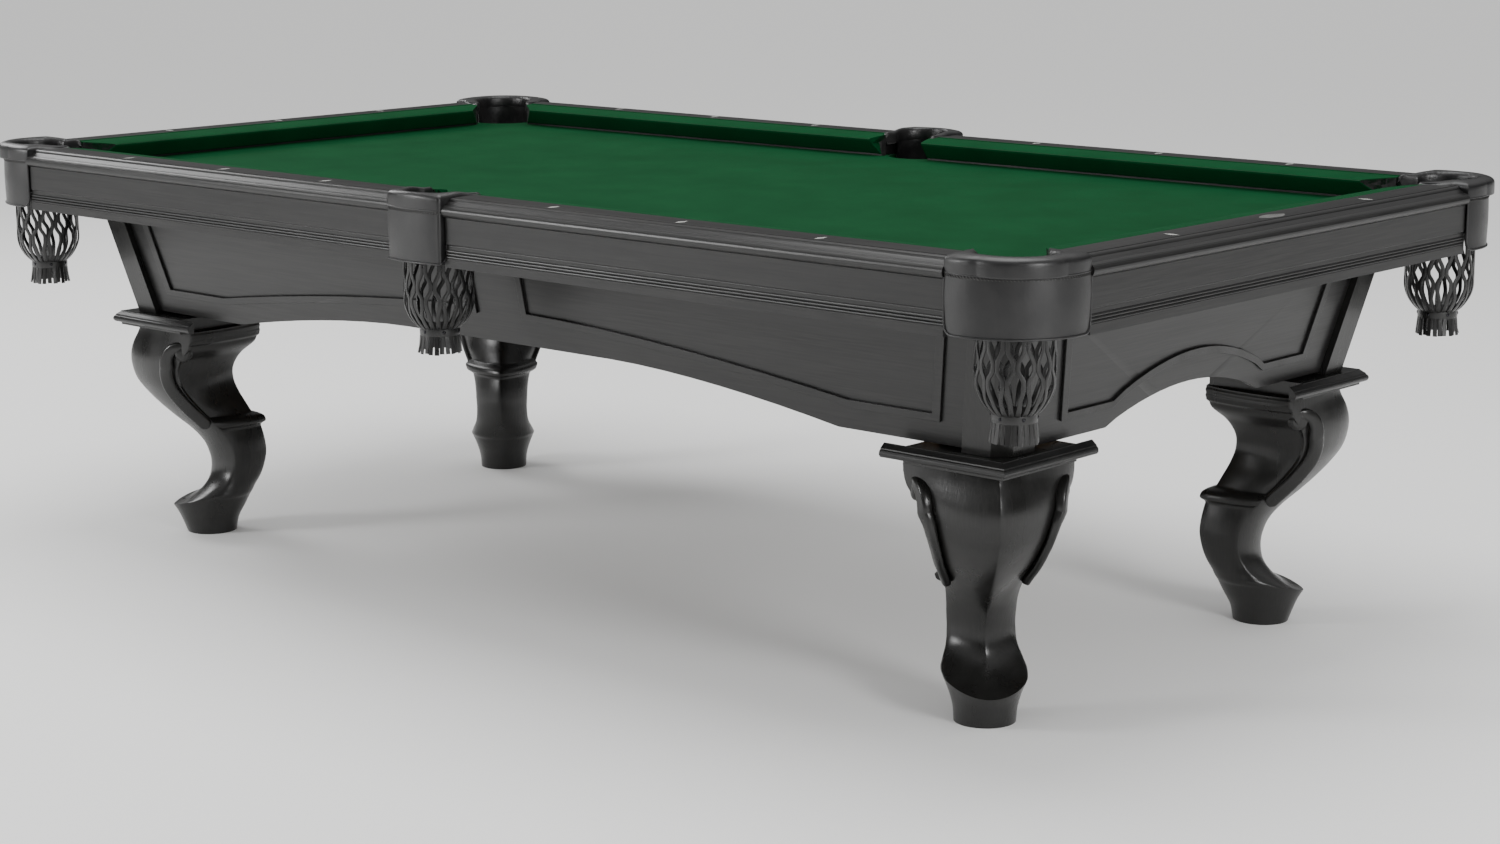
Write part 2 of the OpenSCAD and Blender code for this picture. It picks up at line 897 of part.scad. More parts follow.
// L-shaped leaning post; its outline moves outward with height
function post_ring(z) = let (
    x = cab_x + cab_lean * (z - post_z),
    y = cab_y + cab_lean * (z - post_z),
    c = post_chamfer
  ) [
    [x, y - c, z], [x - c, y, z], [x - post_w, y, z], [x - post_w, y - inner_back, z],
    [x - inner_back, y - inner_back, z], [x - inner_back, y - post_w, z], [x, y - post_w, z]
  ];

module corner_post() {
  n = 7;
  polyhedron(
    points = concat(post_ring(post_z), post_ring(slate_z0)),
    faces = concat(
      [[for (i = [0:n - 1]) i]],
      [[for (i = [0:n - 1]) 2 * n - 1 - i]],
      [for (i = [0:n - 1]) [i, n + i, n + (i + 1) % n, (i + 1) % n]]
    )
  );
}

module corner_posts() {
  color("#2f2f2f") for (s = SIDES) scale_x(s[0]) scale_y(s[1]) corner_post();
}

// ---------- frame under the slate ----------

module side_beams() {
  color("burlywood") difference() {
    for (s = ENDS) scale_y(s) translate([-beam_x1 + beam_t, beam_y1 - beam_t, beam_z0])
      cube([2 * (beam_x1 - beam_t), beam_t, beam_h]);
    leg_bolt_places() leg_bolt_shank();
    slate_screw_places() slate_screw_shank();
  }
}

module end_beams() {
  color("burlywood") difference() {
    for (s = ENDS) scale_x(s) translate([beam_x1 - beam_t, -beam_y1, beam_z0])
      cube([beam_t, 2 * beam_y1, beam_h]);
    leg_bolt_places() leg_bolt_shank();
    slate_screw_places() slate_screw_shank();
  }
}

// A cross beam under each slate joint, and three pieces along the middle between the beams
module inner_beams() {
  color("burlywood") difference() {
    union() {
      for (s = ENDS) translate([s * joint_x - beam_t / 2, -beam_y1 + beam_t, beam_z0])
        cube([beam_t, 2 * (beam_y1 - beam_t), beam_h]);
      middle_piece(-joint_x + beam_t / 2, joint_x - beam_t / 2);
      for (s = ENDS) scale_x(s) middle_piece(joint_x + beam_t / 2, beam_x1 - beam_t);
    }
    slate_screw_places() slate_screw_shank();
  }
}

module middle_piece(x0, x1) {
  translate([x0 + gap, -beam_t / 2, beam_z0]) cube([x1 - x0 - 2 * gap, beam_t, beam_h]);
}

module slate_screw_places() {
  for (s = SIDES) scale_x(s[0]) scale_y(s[1]) {
    translate([joint_x + beam_t / 4, beam_y1 - beam_t - screw_in, 0]) children();
    translate([joint_x - beam_t / 4, beam_y1 - beam_t - screw_in, 0]) children();
    translate([beam_x1 - beam_t / 2, beam_y1 - beam_t - 2 * screw_in, 0]) children();
  }
}

module slate_screw_shank() {
  translate([0, 0, slate_z0 - 30]) cylinder(r = screw_r, h = slate_t + 30);
}

module slate_screws() {
  color("silver") slate_screw_places() {
    slate_screw_shank();
    translate([0, 0, slate_z1 - screw_head]) cylinder(r1 = screw_r, r2 = screw_r + 3, h = screw_head);
  }
}

module rail_bolts() {
  color("silver") rail_bolt_places() {
    translate([0, 0, slate_z0 - 2]) cylinder(r = rail_bolt_r, h = rail_top - 12 - slate_z0 + 2);
    translate([0, 0, slate_z0 - 2]) cylinder(r = 14, h = 2);
    translate([0, 0, slate_z0 - 9]) cylinder(r = 9, h = 7, $fn = 6);
  }
}

// ---------- legs ----------

// Height, outer and inner reach along the diagonal, half width across, roundness
LEG = [
  [0, 48, -48, 48.5, 2], [20, 56, -54, 51, 2], [38, 65, -67, 58, 1.8], [53, 72, -77, 66, 1.55],
  [62, 52, -82, 68, 1.4], [76, 29, -88, 64, 1.3], [96, 8, -98, 57, 1.25], [128, -3, -108, 54, 1.25],
  [160, 1, -112, 55, 1.25], [180, 10, -110, 56, 1.25], [206, 33, -104, 60, 1.25],
  [230, 62, -96, 68, 1.25], [255, 90, -80, 79, 1.25], [280, 114, -66, 87, 1.25],
  [305, 133, -56, 95, 1.25], [330, 142, -57, 102, 1.25], [356, 144, -74, 113, 1.2],
  [380, 138, -104, 129, 1.15], [400, 128, -107, 131, 1.1], [420, 122, -107, 131, 1.1]
];

function row_at(z) = min(len(LEG) - 2, len([for (r = LEG) if (r[0] <= z) 1]) - 1);

function slope_at(i, k) =
  let (a = max(0, i - 1), b = min(len(LEG) - 1, i + 1)) (LEG[b][k] - LEG[a][k]) / (LEG[b][0] - LEG[a][0]);

// Smooth value of column k at height z: a cubic between two rows
function leg_at(z, k) = let (
    i = row_at(z),
    h = LEG[i + 1][0] - LEG[i][0],
    t = (z - LEG[i][0]) / h
  )
  (2 * pow(t, 3) - 3 * t * t + 1) * LEG[i][k] + (pow(t, 3) - 2 * t * t + t) * h * slope_at(i, k)
  + (3 * t * t - 2 * pow(t, 3)) * LEG[i + 1][k] + (pow(t, 3) - t * t) * h * slope_at(i + 1, k);

leg_profile_h = LEG[len(LEG) - 1][0];

function power(v, e) = sign(v) * pow(abs(v), e);

// One ring of a leg: a rounded diamond in the diagonal frame
function leg_ring(z) = let (
    so = leg_at(z, 1), si = leg_at(z, 2), b = leg_at(z, 3), e = 2 / leg_at(z, 4)
  )
  [for (j = [0:leg_pts - 1]) let (a = 360 * j / leg_pts)
    [(so + si) / 2 + (so - si) / 2 * power(cos(a), e), b * power(sin(a), e), z * leg_top_z / leg_profile_h]];

module leg_body() {
  rings = [for (i = [0:leg_rings]) leg_ring(leg_profile_h * i / leg_rings)];
  n = leg_pts;
  polyhedron(
    points = [for (r = rings) each r],
    faces = concat(
      [[for (j = [0:n - 1]) j]],
      [[for (j = [0:n - 1]) leg_rings * n + n - 1 - j]],
      [for (i = [0:leg_rings - 1]) for (j = [0:n - 1]) let (a = i * n + j, b = i * n + (j + 1) % n)
        each [[a, a + n, b + n], [a, b + n, b]]]
    )
  );
}

module leg(sx, sy) {
  color("#262626") difference() {
    scale_x(sx) scale_y(sy) union() {
      translate([foot_x, foot_y, 0]) rotate([0, 0, 45]) leg_body();
      translate([foot_x + block_c - block_w / 2, foot_y + block_c - block_w / 2, leg_top_z - 0.5])
        cube([block_w, block_w, post_z - leg_top_z + 0.5]);
      translate([foot_x - tenon_w / 2, foot_y - tenon_w / 2, post_z - 1])
        cube([tenon_w, tenon_w, slate_z0 - post_z - 9]);
    }
    leg_bolt_places() leg_bolt_shank();
  }
}

module leg_front_left() { leg(-1, -1); }
module leg_front_right() { leg(1, -1); }
module leg_back_left() { leg(-1, 1); }
module leg_back_right() { leg(1, 1); }

// Bolts from outside the beams into the leg tenons
module leg_bolt_places() {
  for (s = SIDES) scale_x(s[0]) scale_y(s[1]) {
    for (z = [beam_z0 + leg_bolt_z, slate_z0 - leg_bolt_z])
      translate([foot_x - leg_bolt_off, beam_y1, z]) rotate([90, 0, 0]) children();
    translate([beam_x1, foot_y + leg_bolt_off, beam_z0 + beam_h / 2]) rotate([0, -90, 0]) children();
  }
}

module leg_bolt_shank() {
  cylinder(r = leg_bolt_r, h = beam_t + leg_bolt_in);
}

module leg_bolts() {
  color("silver") leg_bolt_places() {
    leg_bolt_shank();
    translate([0, 0, -6]) cylinder(r = 10, h = 6, $fn = 6);
  }
}

// Leg caps: an ogee strip mitred round the two outer sides of the block
module cap_section() {
  polygon(concat(
    [[-10, 0], [0, 0]],
    arc(cap_out - 7, 7, 7, -60, 60, 6),
    [[cap_out - 4, 15], [4, cap_h - 2], [2, cap_h], [-10, cap_h]]
  ));
}

// One arm, in a frame whose origin is the top outer corner of the block
module cap_arm() {
  difference() {
    translate([0, cap_out + 2, -cap_h]) rotate([90, 0, 0]) linear_extrude(height = cap_l) cap_section();
    translate([-cap_l, -cap_l, -cap_h - 1]) cube([cap_l, cap_l, cap_h + 2]);
    rotate([0, 0, 45]) translate([-cap_l, 0, -cap_h - 1]) cube([2 * cap_l, cap_l, cap_h + 2]);
  }
}

module leg_cap(sx, sy) {
  reach = block_c + block_w / 2;
  color("#333333") scale_x(sx) scale_y(sy) translate([foot_x + reach, foot_y + reach, post_z]) {
    cap_arm();
    mirror([1, -1, 0]) cap_arm();
  }
}

module cap_front_left() { leg_cap(-1, -1); }
module cap_front_right() { leg_cap(1, -1); }
module cap_back_left() { leg_cap(-1, 1); }
module cap_back_right() { leg_cap(1, 1); }

slate_left();
slate_middle();
slate_right();
bed_cloth();
rail_front_left();
rail_front_right();
rail_back_left();
rail_back_right();
rail_end_left();
rail_end_right();
cushion_front_left();
cushion_front_right();
cushion_back_left();
cushion_back_right();
cushion_end_left();
cushion_end_right();
fascia_front_left();
fascia_front_right();
fascia_back_left();
fascia_back_right();
fascia_end_left();
fascia_end_right();
cushion_cloths();
feather_strips();
sights();
nameplate();
leather_front_left();
leather_front_middle();
leather_front_right();
leather_back_left();
leather_back_middle();
leather_back_right();
net_front_left();
net_front_middle();
net_front_right();
net_back_left();
net_back_middle();
net_back_right();
pocket_irons();
pocket_bolts();
cabinet_front();
cabinet_back();
cabinet_left();
cabinet_right();
corner_posts();
panel_mouldings();
side_beams();
end_beams();
inner_beams();
leg_front_left();
leg_front_right();
leg_back_left();
leg_back_right();
cap_front_left();
cap_front_right();
cap_back_left();
cap_back_right();
rail_bolts();
leg_bolts();
slate_screws();
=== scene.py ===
# %% [markdown]
# # A pool table with leather drop pockets
# The table's rails, slates, cabinet and frame arrive finished as a fixed frame of solids.
# This lesson gives them their finishes and builds, from formulas, the pieces that a machine shop
# does not make: carved legs, stretched cloth, padded leather and hanging nets.

# %% Load the frame
import json
import math

import bpy
import numpy as np
from mathutils import Matrix, Vector

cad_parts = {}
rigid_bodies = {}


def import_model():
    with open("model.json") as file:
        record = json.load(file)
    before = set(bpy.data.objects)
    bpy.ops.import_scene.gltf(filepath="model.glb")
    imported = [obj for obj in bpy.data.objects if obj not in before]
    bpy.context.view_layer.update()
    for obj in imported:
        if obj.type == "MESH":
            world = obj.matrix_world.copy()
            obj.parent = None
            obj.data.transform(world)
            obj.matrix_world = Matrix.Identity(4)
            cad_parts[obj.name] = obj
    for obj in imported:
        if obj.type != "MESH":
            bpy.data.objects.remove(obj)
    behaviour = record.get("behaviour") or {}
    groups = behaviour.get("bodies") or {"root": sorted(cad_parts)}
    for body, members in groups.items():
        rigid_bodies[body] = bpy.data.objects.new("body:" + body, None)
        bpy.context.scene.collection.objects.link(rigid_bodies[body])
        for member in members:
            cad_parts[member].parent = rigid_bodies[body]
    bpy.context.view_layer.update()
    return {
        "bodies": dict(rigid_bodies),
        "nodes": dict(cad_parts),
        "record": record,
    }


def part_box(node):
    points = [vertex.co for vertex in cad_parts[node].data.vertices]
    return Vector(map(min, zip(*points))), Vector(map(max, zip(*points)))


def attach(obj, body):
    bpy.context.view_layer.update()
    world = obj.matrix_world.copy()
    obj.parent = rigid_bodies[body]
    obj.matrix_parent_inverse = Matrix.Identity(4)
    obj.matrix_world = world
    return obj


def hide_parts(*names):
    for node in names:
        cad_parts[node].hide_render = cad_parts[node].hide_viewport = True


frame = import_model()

MM = 0.001
BODY = next(iter(frame["bodies"]))
NODES = frame["nodes"]
print("nodes in the frame:", len(NODES))

# %% [markdown]
# ## Camera and light
# The table is seen from standing height at its front right corner, through a fairly long lens, so its
# far corner is only a little smaller than its near one. The floor is a plain pale sheet that reaches
# past the top of the picture, and big soft lights leave broad highlights on lacquer and leather.

# %% Camera
CAMERA_AT = (3.561, -3.837, 1.338)
TURN, DOWN, ROLL = math.radians(41.9), math.radians(11.4), math.radians(-0.17)
camera = bpy.data.objects.new("camera", bpy.data.cameras.new("camera"))
bpy.context.scene.collection.objects.link(camera)
camera.data.lens = 69.26
camera.data.sensor_width = 36.0
camera.data.clip_end = 200.0
camera.location = CAMERA_AT
look = Vector((-math.sin(TURN) * math.cos(DOWN), math.cos(TURN) * math.cos(DOWN), -math.sin(DOWN)))
camera.rotation_mode = "QUATERNION"
camera.rotation_quaternion = look.to_track_quat("-Z", "Y") @ Matrix.Rotation(ROLL, 3, "Z").to_quaternion()
bpy.context.scene.camera = camera
print("camera at", CAMERA_AT)


# %% Lights
def soft_light(name, at, aim, size, power):
    """A square area light of side `size` at `at`, turned towards `aim`."""
    light = bpy.data.lights.new(name, "AREA")
    light.size = size
    light.energy = power
    holder = bpy.data.objects.new(name, light)
    holder.location = at
    holder.rotation_euler = (Vector(aim) - Vector(at)).to_track_quat("-Z", "Y").to_euler()
    bpy.context.scene.collection.objects.link(holder)


TABLE_MIDDLE = (0.0, 0.0, 0.6)
soft_light("overhead", (0.0, 0.2, 4.2), TABLE_MIDDLE, 3.2, 110)
soft_light("front_left", (-3.4, -4.6, 2.0), (-0.3, -0.5, 0.5), 1.3, 130)
soft_light("front_right", (5.6, -1.4, 2.1), (0.9, -0.2, 0.5), 1.3, 130)
soft_light("left", (-5.2, 0.2, 3.2), TABLE_MIDDLE, 2.0, 80)


# %% [markdown]
# ## Building surfaces from formulas
# Every new piece is a stack of rings. A ring is one closed cross-section, and the piece is the skin
# over all of them, with a flat end on the first and the last. Computing all rings as one numpy array
# keeps the shape readable as a formula.


# %% Rings, lofts and meshes
def ring_faces(rings, around):
    """Quads between neighbouring rings: corner (i, j), (i, j+1), (i+1, j+1), (i+1, j), where j wraps."""
    i = np.arange(rings - 1)[:, None]
    j = np.arange(around)[None, :]
    here, after = i * around + j, i * around + (j + 1) % around
    return joined(here, after, after + around, here + around).reshape(-1, 4)


def loft(rings):
    """Closed skin over rings shaped (count, around, 3). If the signed volume, the sum over quads of
    p0 . (p1 x p2 + p2 x p3) / 6, is negative, every face is turned so that it points out."""
    count, around = rings.shape[:2]
    points = rings.reshape(-1, 3)
    quads = ring_faces(count, around)
    p0, p1, p2, p3 = (points[quads[:, k]] - points.mean(0) for k in range(4))
    volume = (p0 * (np.cross(p1, p2) + np.cross(p2, p3))).sum()
    faces = quads.tolist() + [list(range(around))[::-1], list(range((count - 1) * around, count * around))]
    return points, [f[::-1] for f in faces] if volume < 0 else faces


def closed_loft(rings):
    """The same for rings that come back to the first one, as round a torus, so it has no ends."""
    count, around = rings.shape[:2]
    points = rings.reshape(-1, 3)
    quads = ring_faces(count + 1, around) % (count * around)
    p0, p1, p2, p3 = (points[quads[:, k]] - points.mean(0) for k in range(4))
    volume = (p0 * (np.cross(p1, p2) + np.cross(p2, p3))).sum()
    return points, (quads[:, ::-1] if volume < 0 else quads).tolist()


def piece(name, parts, material, replaced=(), sharp=35.0):
    """One object from a list of (points, faces), riding on the table. Edges sharper than `sharp`
    degrees stay crisp and all others are shaded smooth."""
    points, faces, start = [], [], 0
    for part_points, part_faces in parts:
        points.append(part_points)
        faces += [[index + start for index in face] for face in part_faces]
        start += len(part_points)
    mesh = bpy.data.meshes.new(name)
    mesh.from_pydata(np.concatenate(points).tolist(), [], faces)
    mesh.shade_smooth()
    mesh.set_sharp_from_angle(angle=math.radians(sharp))
    mesh.materials.append(material)
    made = bpy.data.objects.new(name, mesh)
    bpy.context.scene.collection.objects.link(made)
    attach(made, BODY)
    if replaced:
        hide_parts(*replaced)
    return made


def box(node):
    """Lowest and highest corner of a frame node as arrays."""
    low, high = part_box(node)
    return np.array(low), np.array(high)


def power(value, exponent):
    """sign(v) |v|^e: with cos and sin it turns a circle into a rounded square (e < 1) or a diamond."""
    return np.sign(value) * np.abs(value) ** exponent


def smooth(t):
    """The S curve 3t^2 - 2t^3 on 0..1, flat at both ends."""
    t = np.clip(t, 0.0, 1.0)
    return t * t * (3.0 - 2.0 * t)


def joined(*axes):
    """Separate arrays of coordinates, stretched to one shape and joined as the last axis."""
    return np.stack(np.broadcast_arrays(*axes), -1)


def unit(v):
    """Vectors scaled to length 1 along the last axis."""
    return v / np.maximum(np.linalg.norm(v, axis=-1, keepdims=True), 1e-12)


# %% [markdown]
# ## Finishes
# A finish is a small graph of nodes. Patterns are laid out in millimetres of real grain, thread or
# pore, on object coordinates, so they stay put on the piece. One function adds a node with its
# settings and its links, and one turns a paint chart's hex colour into linear light.


# %% Colours and nodes
def colour(code):
    """Linear RGBA of an sRGB hex colour: c / 12.92 below 0.04045, else ((c + 0.055) / 1.055)^2.4."""
    parts = [int(code[k : k + 2], 16) / 255.0 for k in (1, 3, 5)]
    return (*[c / 12.92 if c <= 0.04045 else ((c + 0.055) / 1.055) ** 2.4 for c in parts], 1.0)


def fill(tree, node, inputs):
    """Fills a node's sockets: with a value, a link, or a link from another node's first output."""
    for key, value in inputs.items():
        if isinstance(value, bpy.types.Node):
            value = value.outputs[0]
        if isinstance(value, bpy.types.NodeSocket):
            tree.links.new(value, node.inputs[key])
        else:
            node.inputs[key].default_value = value


def add(tree, kind, inputs=None, **settings):
    """Adds a shader node, sets its properties and fills its sockets."""
    made = tree.nodes.new("ShaderNode" + kind)
    for key, value in settings.items():
        setattr(made, key, value)
    fill(tree, made, inputs or {})
    return made


def finish(name, **shader):
    """An empty material with a Principled shader whose own sockets hold the constants."""
    material = bpy.data.materials.new(name)
    material.use_nodes = True
    surface = material.node_tree.nodes["Principled BSDF"]
    for key, value in shader.items():
        surface.inputs[key.replace("_", " ")].default_value = value
    place = add(material.node_tree, "TexCoord").outputs["Object"]
    return material, material.node_tree, surface, place


MIX_A, MIX_B, MIX_OUT = 6, 7, 2

# %% [markdown]
# ### Stained hardwood under satin lacquer
# Rails, cabinet and legs are maple or ash stained almost black and sprayed with satin lacquer. The
# stain hides the colour of the wood but sinks deeper into open pores, so fine dark lines run along
# the grain and the lacquer film dips slightly over each. Real pores are 1 to 2 mm apart; they are
# drawn 3 mm apart, so that they show.


# %% Stained hardwood
# Cells of noise per metre: pores are 3 mm apart and 110 mm long, broad figure 40 by 600 mm
PORES_ACROSS, PORES_ALONG = 310.0, 9.0
FIGURE_ACROSS, FIGURE_ALONG = 26.0, 1.6


def stained_wood(name, along, dark="#111111", light="#262524", rough=0.36):
    """Noise squeezed hard across the grain and stretched along axis `along` (0, 1 or 2)."""
    material, tree, surface, place = finish(name, IOR=1.45, Coat_Weight=0.08, Coat_Roughness=0.25)
    scale = [PORES_ACROSS] * 3
    scale[along] = PORES_ALONG
    grain_place = add(tree, "Mapping", {"Vector": place, "Scale": scale})
    pores = add(tree, "TexNoise", {"Vector": grain_place, "Scale": 1.0, "Detail": 3.0,
                                             "Roughness": 0.62})
    broad_scale = [FIGURE_ACROSS] * 3
    broad_scale[along] = FIGURE_ALONG
    broad_place = add(tree, "Mapping", {"Vector": place, "Scale": broad_scale})
    broad = add(tree, "TexNoise", {"Vector": broad_place, "Scale": 1.0, "Detail": 4.0,
                                             "Distortion": 0.4})
    lines = add(tree, "MapRange", {"Value": pores, "From Min": 0.38, "From Max": 0.66})
    cloud = add(tree, "MapRange", {"Value": broad, "From Min": 0.3, "From Max": 0.7,
                                             "To Min": 0.25, "To Max": 0.8})
    share = add(tree, "Math", {0: lines, 1: cloud},
                operation="MULTIPLY")
    stain = add(tree, "Mix", {0: share, MIX_A: colour(dark), MIX_B: colour(light)},
                data_type="RGBA")
    gloss = add(tree, "MapRange", {"Value": broad, "From Min": 0.3, "From Max": 0.7,
                                             "To Min": rough - 0.05, "To Max": rough + 0.07})
    film = add(tree, "Bump", {"Height": lines, "Strength": 0.16, "Distance": 0.0004})
    fill(tree, surface, {"Base Color": stain.outputs[MIX_OUT], "Roughness": gloss, "Normal": film})
    return material


wood_x = stained_wood("stained hardwood, grain along X", 0)
wood_y = stained_wood("stained hardwood, grain along Y", 1)
wood_z = stained_wood("stained hardwood, grain along Z", 2, dark="#131312", light="#1e1d1c", rough=0.3)


# %% [markdown]
# ### Billiard cloth
# Worsted wool, sheared short, dyed green and stretched tight. Threads are about 0.4 mm apart, too
# fine to show here, so the weave is drawn 2.4 mm apart and very shallow; a little lint and chalk
# make the colour drift. Wool scatters light at grazing angles, which is the sheen.


# %% Cloth
# A wave texture of scale k repeats every 2 pi / (20 k) metres, here 2.4 mm
THREADS = 132.0


def billiard_cloth(name, dark="#03371c", light="#084324"):
    """Two crossed sine gratings give the weave, noise gives the drift of the dye."""
    material, tree, surface, place = finish(name, IOR=1.5, Roughness=0.95, Sheen_Weight=0.04,
                                            Sheen_Roughness=0.4, Specular_IOR_Level=0.05)
    surface.inputs["Sheen Tint"].default_value = colour("#2f8a55")
    threads = []
    for direction in ("X", "Y"):
        wave = add(tree, "TexWave",
                   {"Vector": place, "Scale": THREADS, "Distortion": 0.6, "Detail": 1.0},
                   wave_type="BANDS", bands_direction=direction)
        threads.append(wave.outputs["Fac"])
    weave = add(tree, "Math", {0: threads[0], 1: threads[1]}, operation="ADD")
    drift = add(tree, "TexNoise", {"Vector": place, "Scale": 7.0, "Detail": 5.0, "Roughness": 0.6})
    lint = add(tree, "TexNoise", {"Vector": place, "Scale": 900.0, "Detail": 2.0})
    mixed = add(tree, "Math", {0: drift, 1: lint}, operation="MULTIPLY")
    share = add(tree, "MapRange", {"Value": mixed, "From Min": 0.12, "From Max": 0.42})
    dye = add(tree, "Mix", {0: share, MIX_A: colour(dark), MIX_B: colour(light)},
              data_type="RGBA")
    bump = add(tree, "Bump", {"Height": weave, "Strength": 0.25, "Distance": 0.0003})
    fill(tree, surface, {"Base Color": dye.outputs[MIX_OUT], "Normal": bump})
    return material


cloth = billiard_cloth("worsted billiard cloth")


# %% [markdown]
# ### Black leather
# Full-grain hide, dyed black and wax finished. Its grain is a net of tiny cells, about 1.5 mm
# across, with shallow creases between them, and the wax leaves soft broad highlights that break up
# over the cells.


# %% Leather
def black_leather(name, base="#0d0d0e", worn="#1a1919", rough=0.33, cell=1.5):
    """Voronoi distance to edge draws the creases; `cell` is the size of one cell in millimetres."""
    material, tree, surface, place = finish(name, IOR=1.5, Coat_Weight=0.15, Coat_Roughness=0.3)
    cells = add(tree, "TexVoronoi", {"Vector": place, "Scale": 1.0 / (cell * MM)},
                feature="DISTANCE_TO_EDGE")
    crease = add(tree, "MapRange", {"Value": cells, "From Max": 0.16})
    wear = add(tree, "TexNoise", {"Vector": place, "Scale": 34.0, "Detail": 5.0, "Roughness": 0.6})
    share = add(tree, "MapRange", {"Value": wear, "From Min": 0.42, "From Max": 0.72})
    hide = add(tree, "Mix", {0: share, MIX_A: colour(base), MIX_B: colour(worn)},
               data_type="RGBA")
    gloss = add(tree, "MapRange", {"Value": wear, "From Min": 0.3, "From Max": 0.7,
                                             "To Min": rough - 0.04, "To Max": rough + 0.1})
    fine = add(tree, "Bump", {"Height": crease, "Strength": 0.22, "Distance": 0.0003})
    soft = add(tree, "Bump", {"Height": wear, "Normal": fine,
                                        "Strength": 0.25, "Distance": 0.002})
    fill(tree, surface, {"Base Color": hide.outputs[MIX_OUT], "Roughness": gloss, "Normal": soft})
    return material


leather = black_leather("waxed black leather")
net_leather = black_leather("waxed black leather straps", base="#0c0c0c", worn="#181716",
                            rough=0.28, cell=1.1)
thread = black_leather("waxed thread", base="#2b2a29", worn="#3a3937", rough=0.5, cell=0.6)


# %% [markdown]
# ### Small finishes
# Sights are mother-of-pearl, the plate is satin stainless steel, slate is honed stone, the pocket
# irons are cast iron, bolts are zinc plated and the frame is planed pine. Each gets noise at the
# scale of its own structure.


# %% Pearl, steel, stone, iron, rubber, pine
def grained(name, low, high, scale, rough, swing, bump_mm, stretch=(1.0, 1.0, 1.0), **shader):
    """Noise of `scale` cells per metre, stretched, drives colour, roughness by +-swing, and a bump."""
    material, tree, surface, place = finish(name, **shader)
    spread = add(tree, "Mapping", {"Vector": place, "Scale": stretch})
    noise = add(tree, "TexNoise", {"Vector": spread, "Scale": scale, "Detail": 4.0,
                                             "Roughness": 0.6})
    share = add(tree, "MapRange", {"Value": noise, "From Min": 0.3, "From Max": 0.7})
    paint = add(tree, "Mix", {0: share, MIX_A: colour(low), MIX_B: colour(high)},
                data_type="RGBA")
    gloss = add(tree, "MapRange", {"Value": noise, "From Min": 0.3, "From Max": 0.7,
                                             "To Min": rough - swing, "To Max": rough + swing})
    bump = add(tree, "Bump", {"Height": noise, "Strength": 0.4, "Distance": bump_mm * MM})
    fill(tree, surface, {"Base Color": paint.outputs[MIX_OUT], "Roughness": gloss, "Normal": bump})
    return material


pearl = grained("mother-of-pearl", "#b9bdb8", "#f3f1ec", 260.0, 0.22, 0.06, 0.05, IOR=1.53, Coat_Weight=0.5)
plate = grained("satin stainless steel", "#a9a9a7", "#c9c9c6", 900.0, 0.32, 0.06, 0.05,
                stretch=(1.0, 0.04, 1.0), Metallic=1.0)
slate = grained("honed slate", "#2c2f31", "#4a4e50", 60.0, 0.6, 0.1, 0.2, IOR=1.55)
iron = grained("cast iron", "#26272a", "#3b3c3e", 700.0, 0.55, 0.1, 0.4, Metallic=0.8)
rubber = grained("cushion rubber", "#161616", "#222221", 200.0, 0.75, 0.08, 0.1, IOR=1.5)
zinc = grained("zinc plated steel", "#9a9da0", "#c3c6c8", 300.0, 0.34, 0.08, 0.05, Metallic=1.0)
pine = grained("planed pine", "#5c4630", "#7d6244", 40.0, 0.6, 0.08, 0.3, stretch=(0.08, 0.08, 1.0), IOR=1.45)
gunmetal = grained("blackened rivets", "#1e1e20", "#3a3a3d", 500.0, 0.25, 0.05, 0.05, Metallic=1.0)
print("materials:", len(bpy.data.materials))

# %% [markdown]
# ## Finishes on the frame's own pieces
# Rails, fascias, slates, beams, panels and bolts keep their exact solids. Each is welded, and the wooden
# ones get a narrow bevel as a live modifier, because a sanded and lacquered edge is never knife sharp
# and it is the bevel that catches the light.

# %% Assign materials to the frame's nodes
SMALL_BEVEL, BEVEL_ANGLE = 0.8 * MM, math.radians(30.0)
FINISH_OF = {
    "rail_end": wood_y, "rail_bolts": zinc, "rail_": wood_x,
    "fascia_end": wood_y, "fascia_": wood_x,
    "cabinet_left": wood_y, "cabinet_right": wood_y, "cabinet_": wood_x,
    "corner_posts": wood_z, "panel_mouldings": wood_x, "cap_": wood_x,
    "cushion_": rubber, "feather_strips": cloth, "bed_cloth": cloth, "cushion_cloths": cloth,
    "sights": pearl, "nameplate": plate, "slate_screws": zinc, "slate_": slate,
    "side_beams": pine, "end_beams": pine, "inner_beams": pine,
    "pocket_irons": iron, "pocket_bolts": zinc, "leg_bolts": zinc,
    "leather_": leather, "net_": net_leather, "leg_": wood_z,
}


def dress(name, node):
    """Gives a node the finish whose key starts its name, longest key first, and a wooden one its small bevel.
    """
    key = max((k for k in FINISH_OF if name.startswith(k)), key=len)
    node.data.materials.clear()
    node.data.materials.append(FINISH_OF[key])
    weld = node.modifiers.new("weld", "WELD")
    weld.merge_threshold = 0.00001
    if FINISH_OF[key] in (wood_x, wood_y, wood_z):
        bevel = node.modifiers.new("sanded edges", "BEVEL")
        bevel.width = SMALL_BEVEL
        bevel.segments = 2
        bevel.limit_method = "ANGLE"
        bevel.angle_limit = BEVEL_ANGLE
        bevel.harden_normals = True


for node_name, node_object in NODES.items():
    dress(node_name, node_object)
print("dressed nodes:", len(NODES))

# %% [markdown]
# ## The studio around the table
# The studio is white to the camera and to soft light, but what shines back from lacquer is a pale
# ceiling over dark walls: low reflections stay dark and edges that face up catch a soft sky.

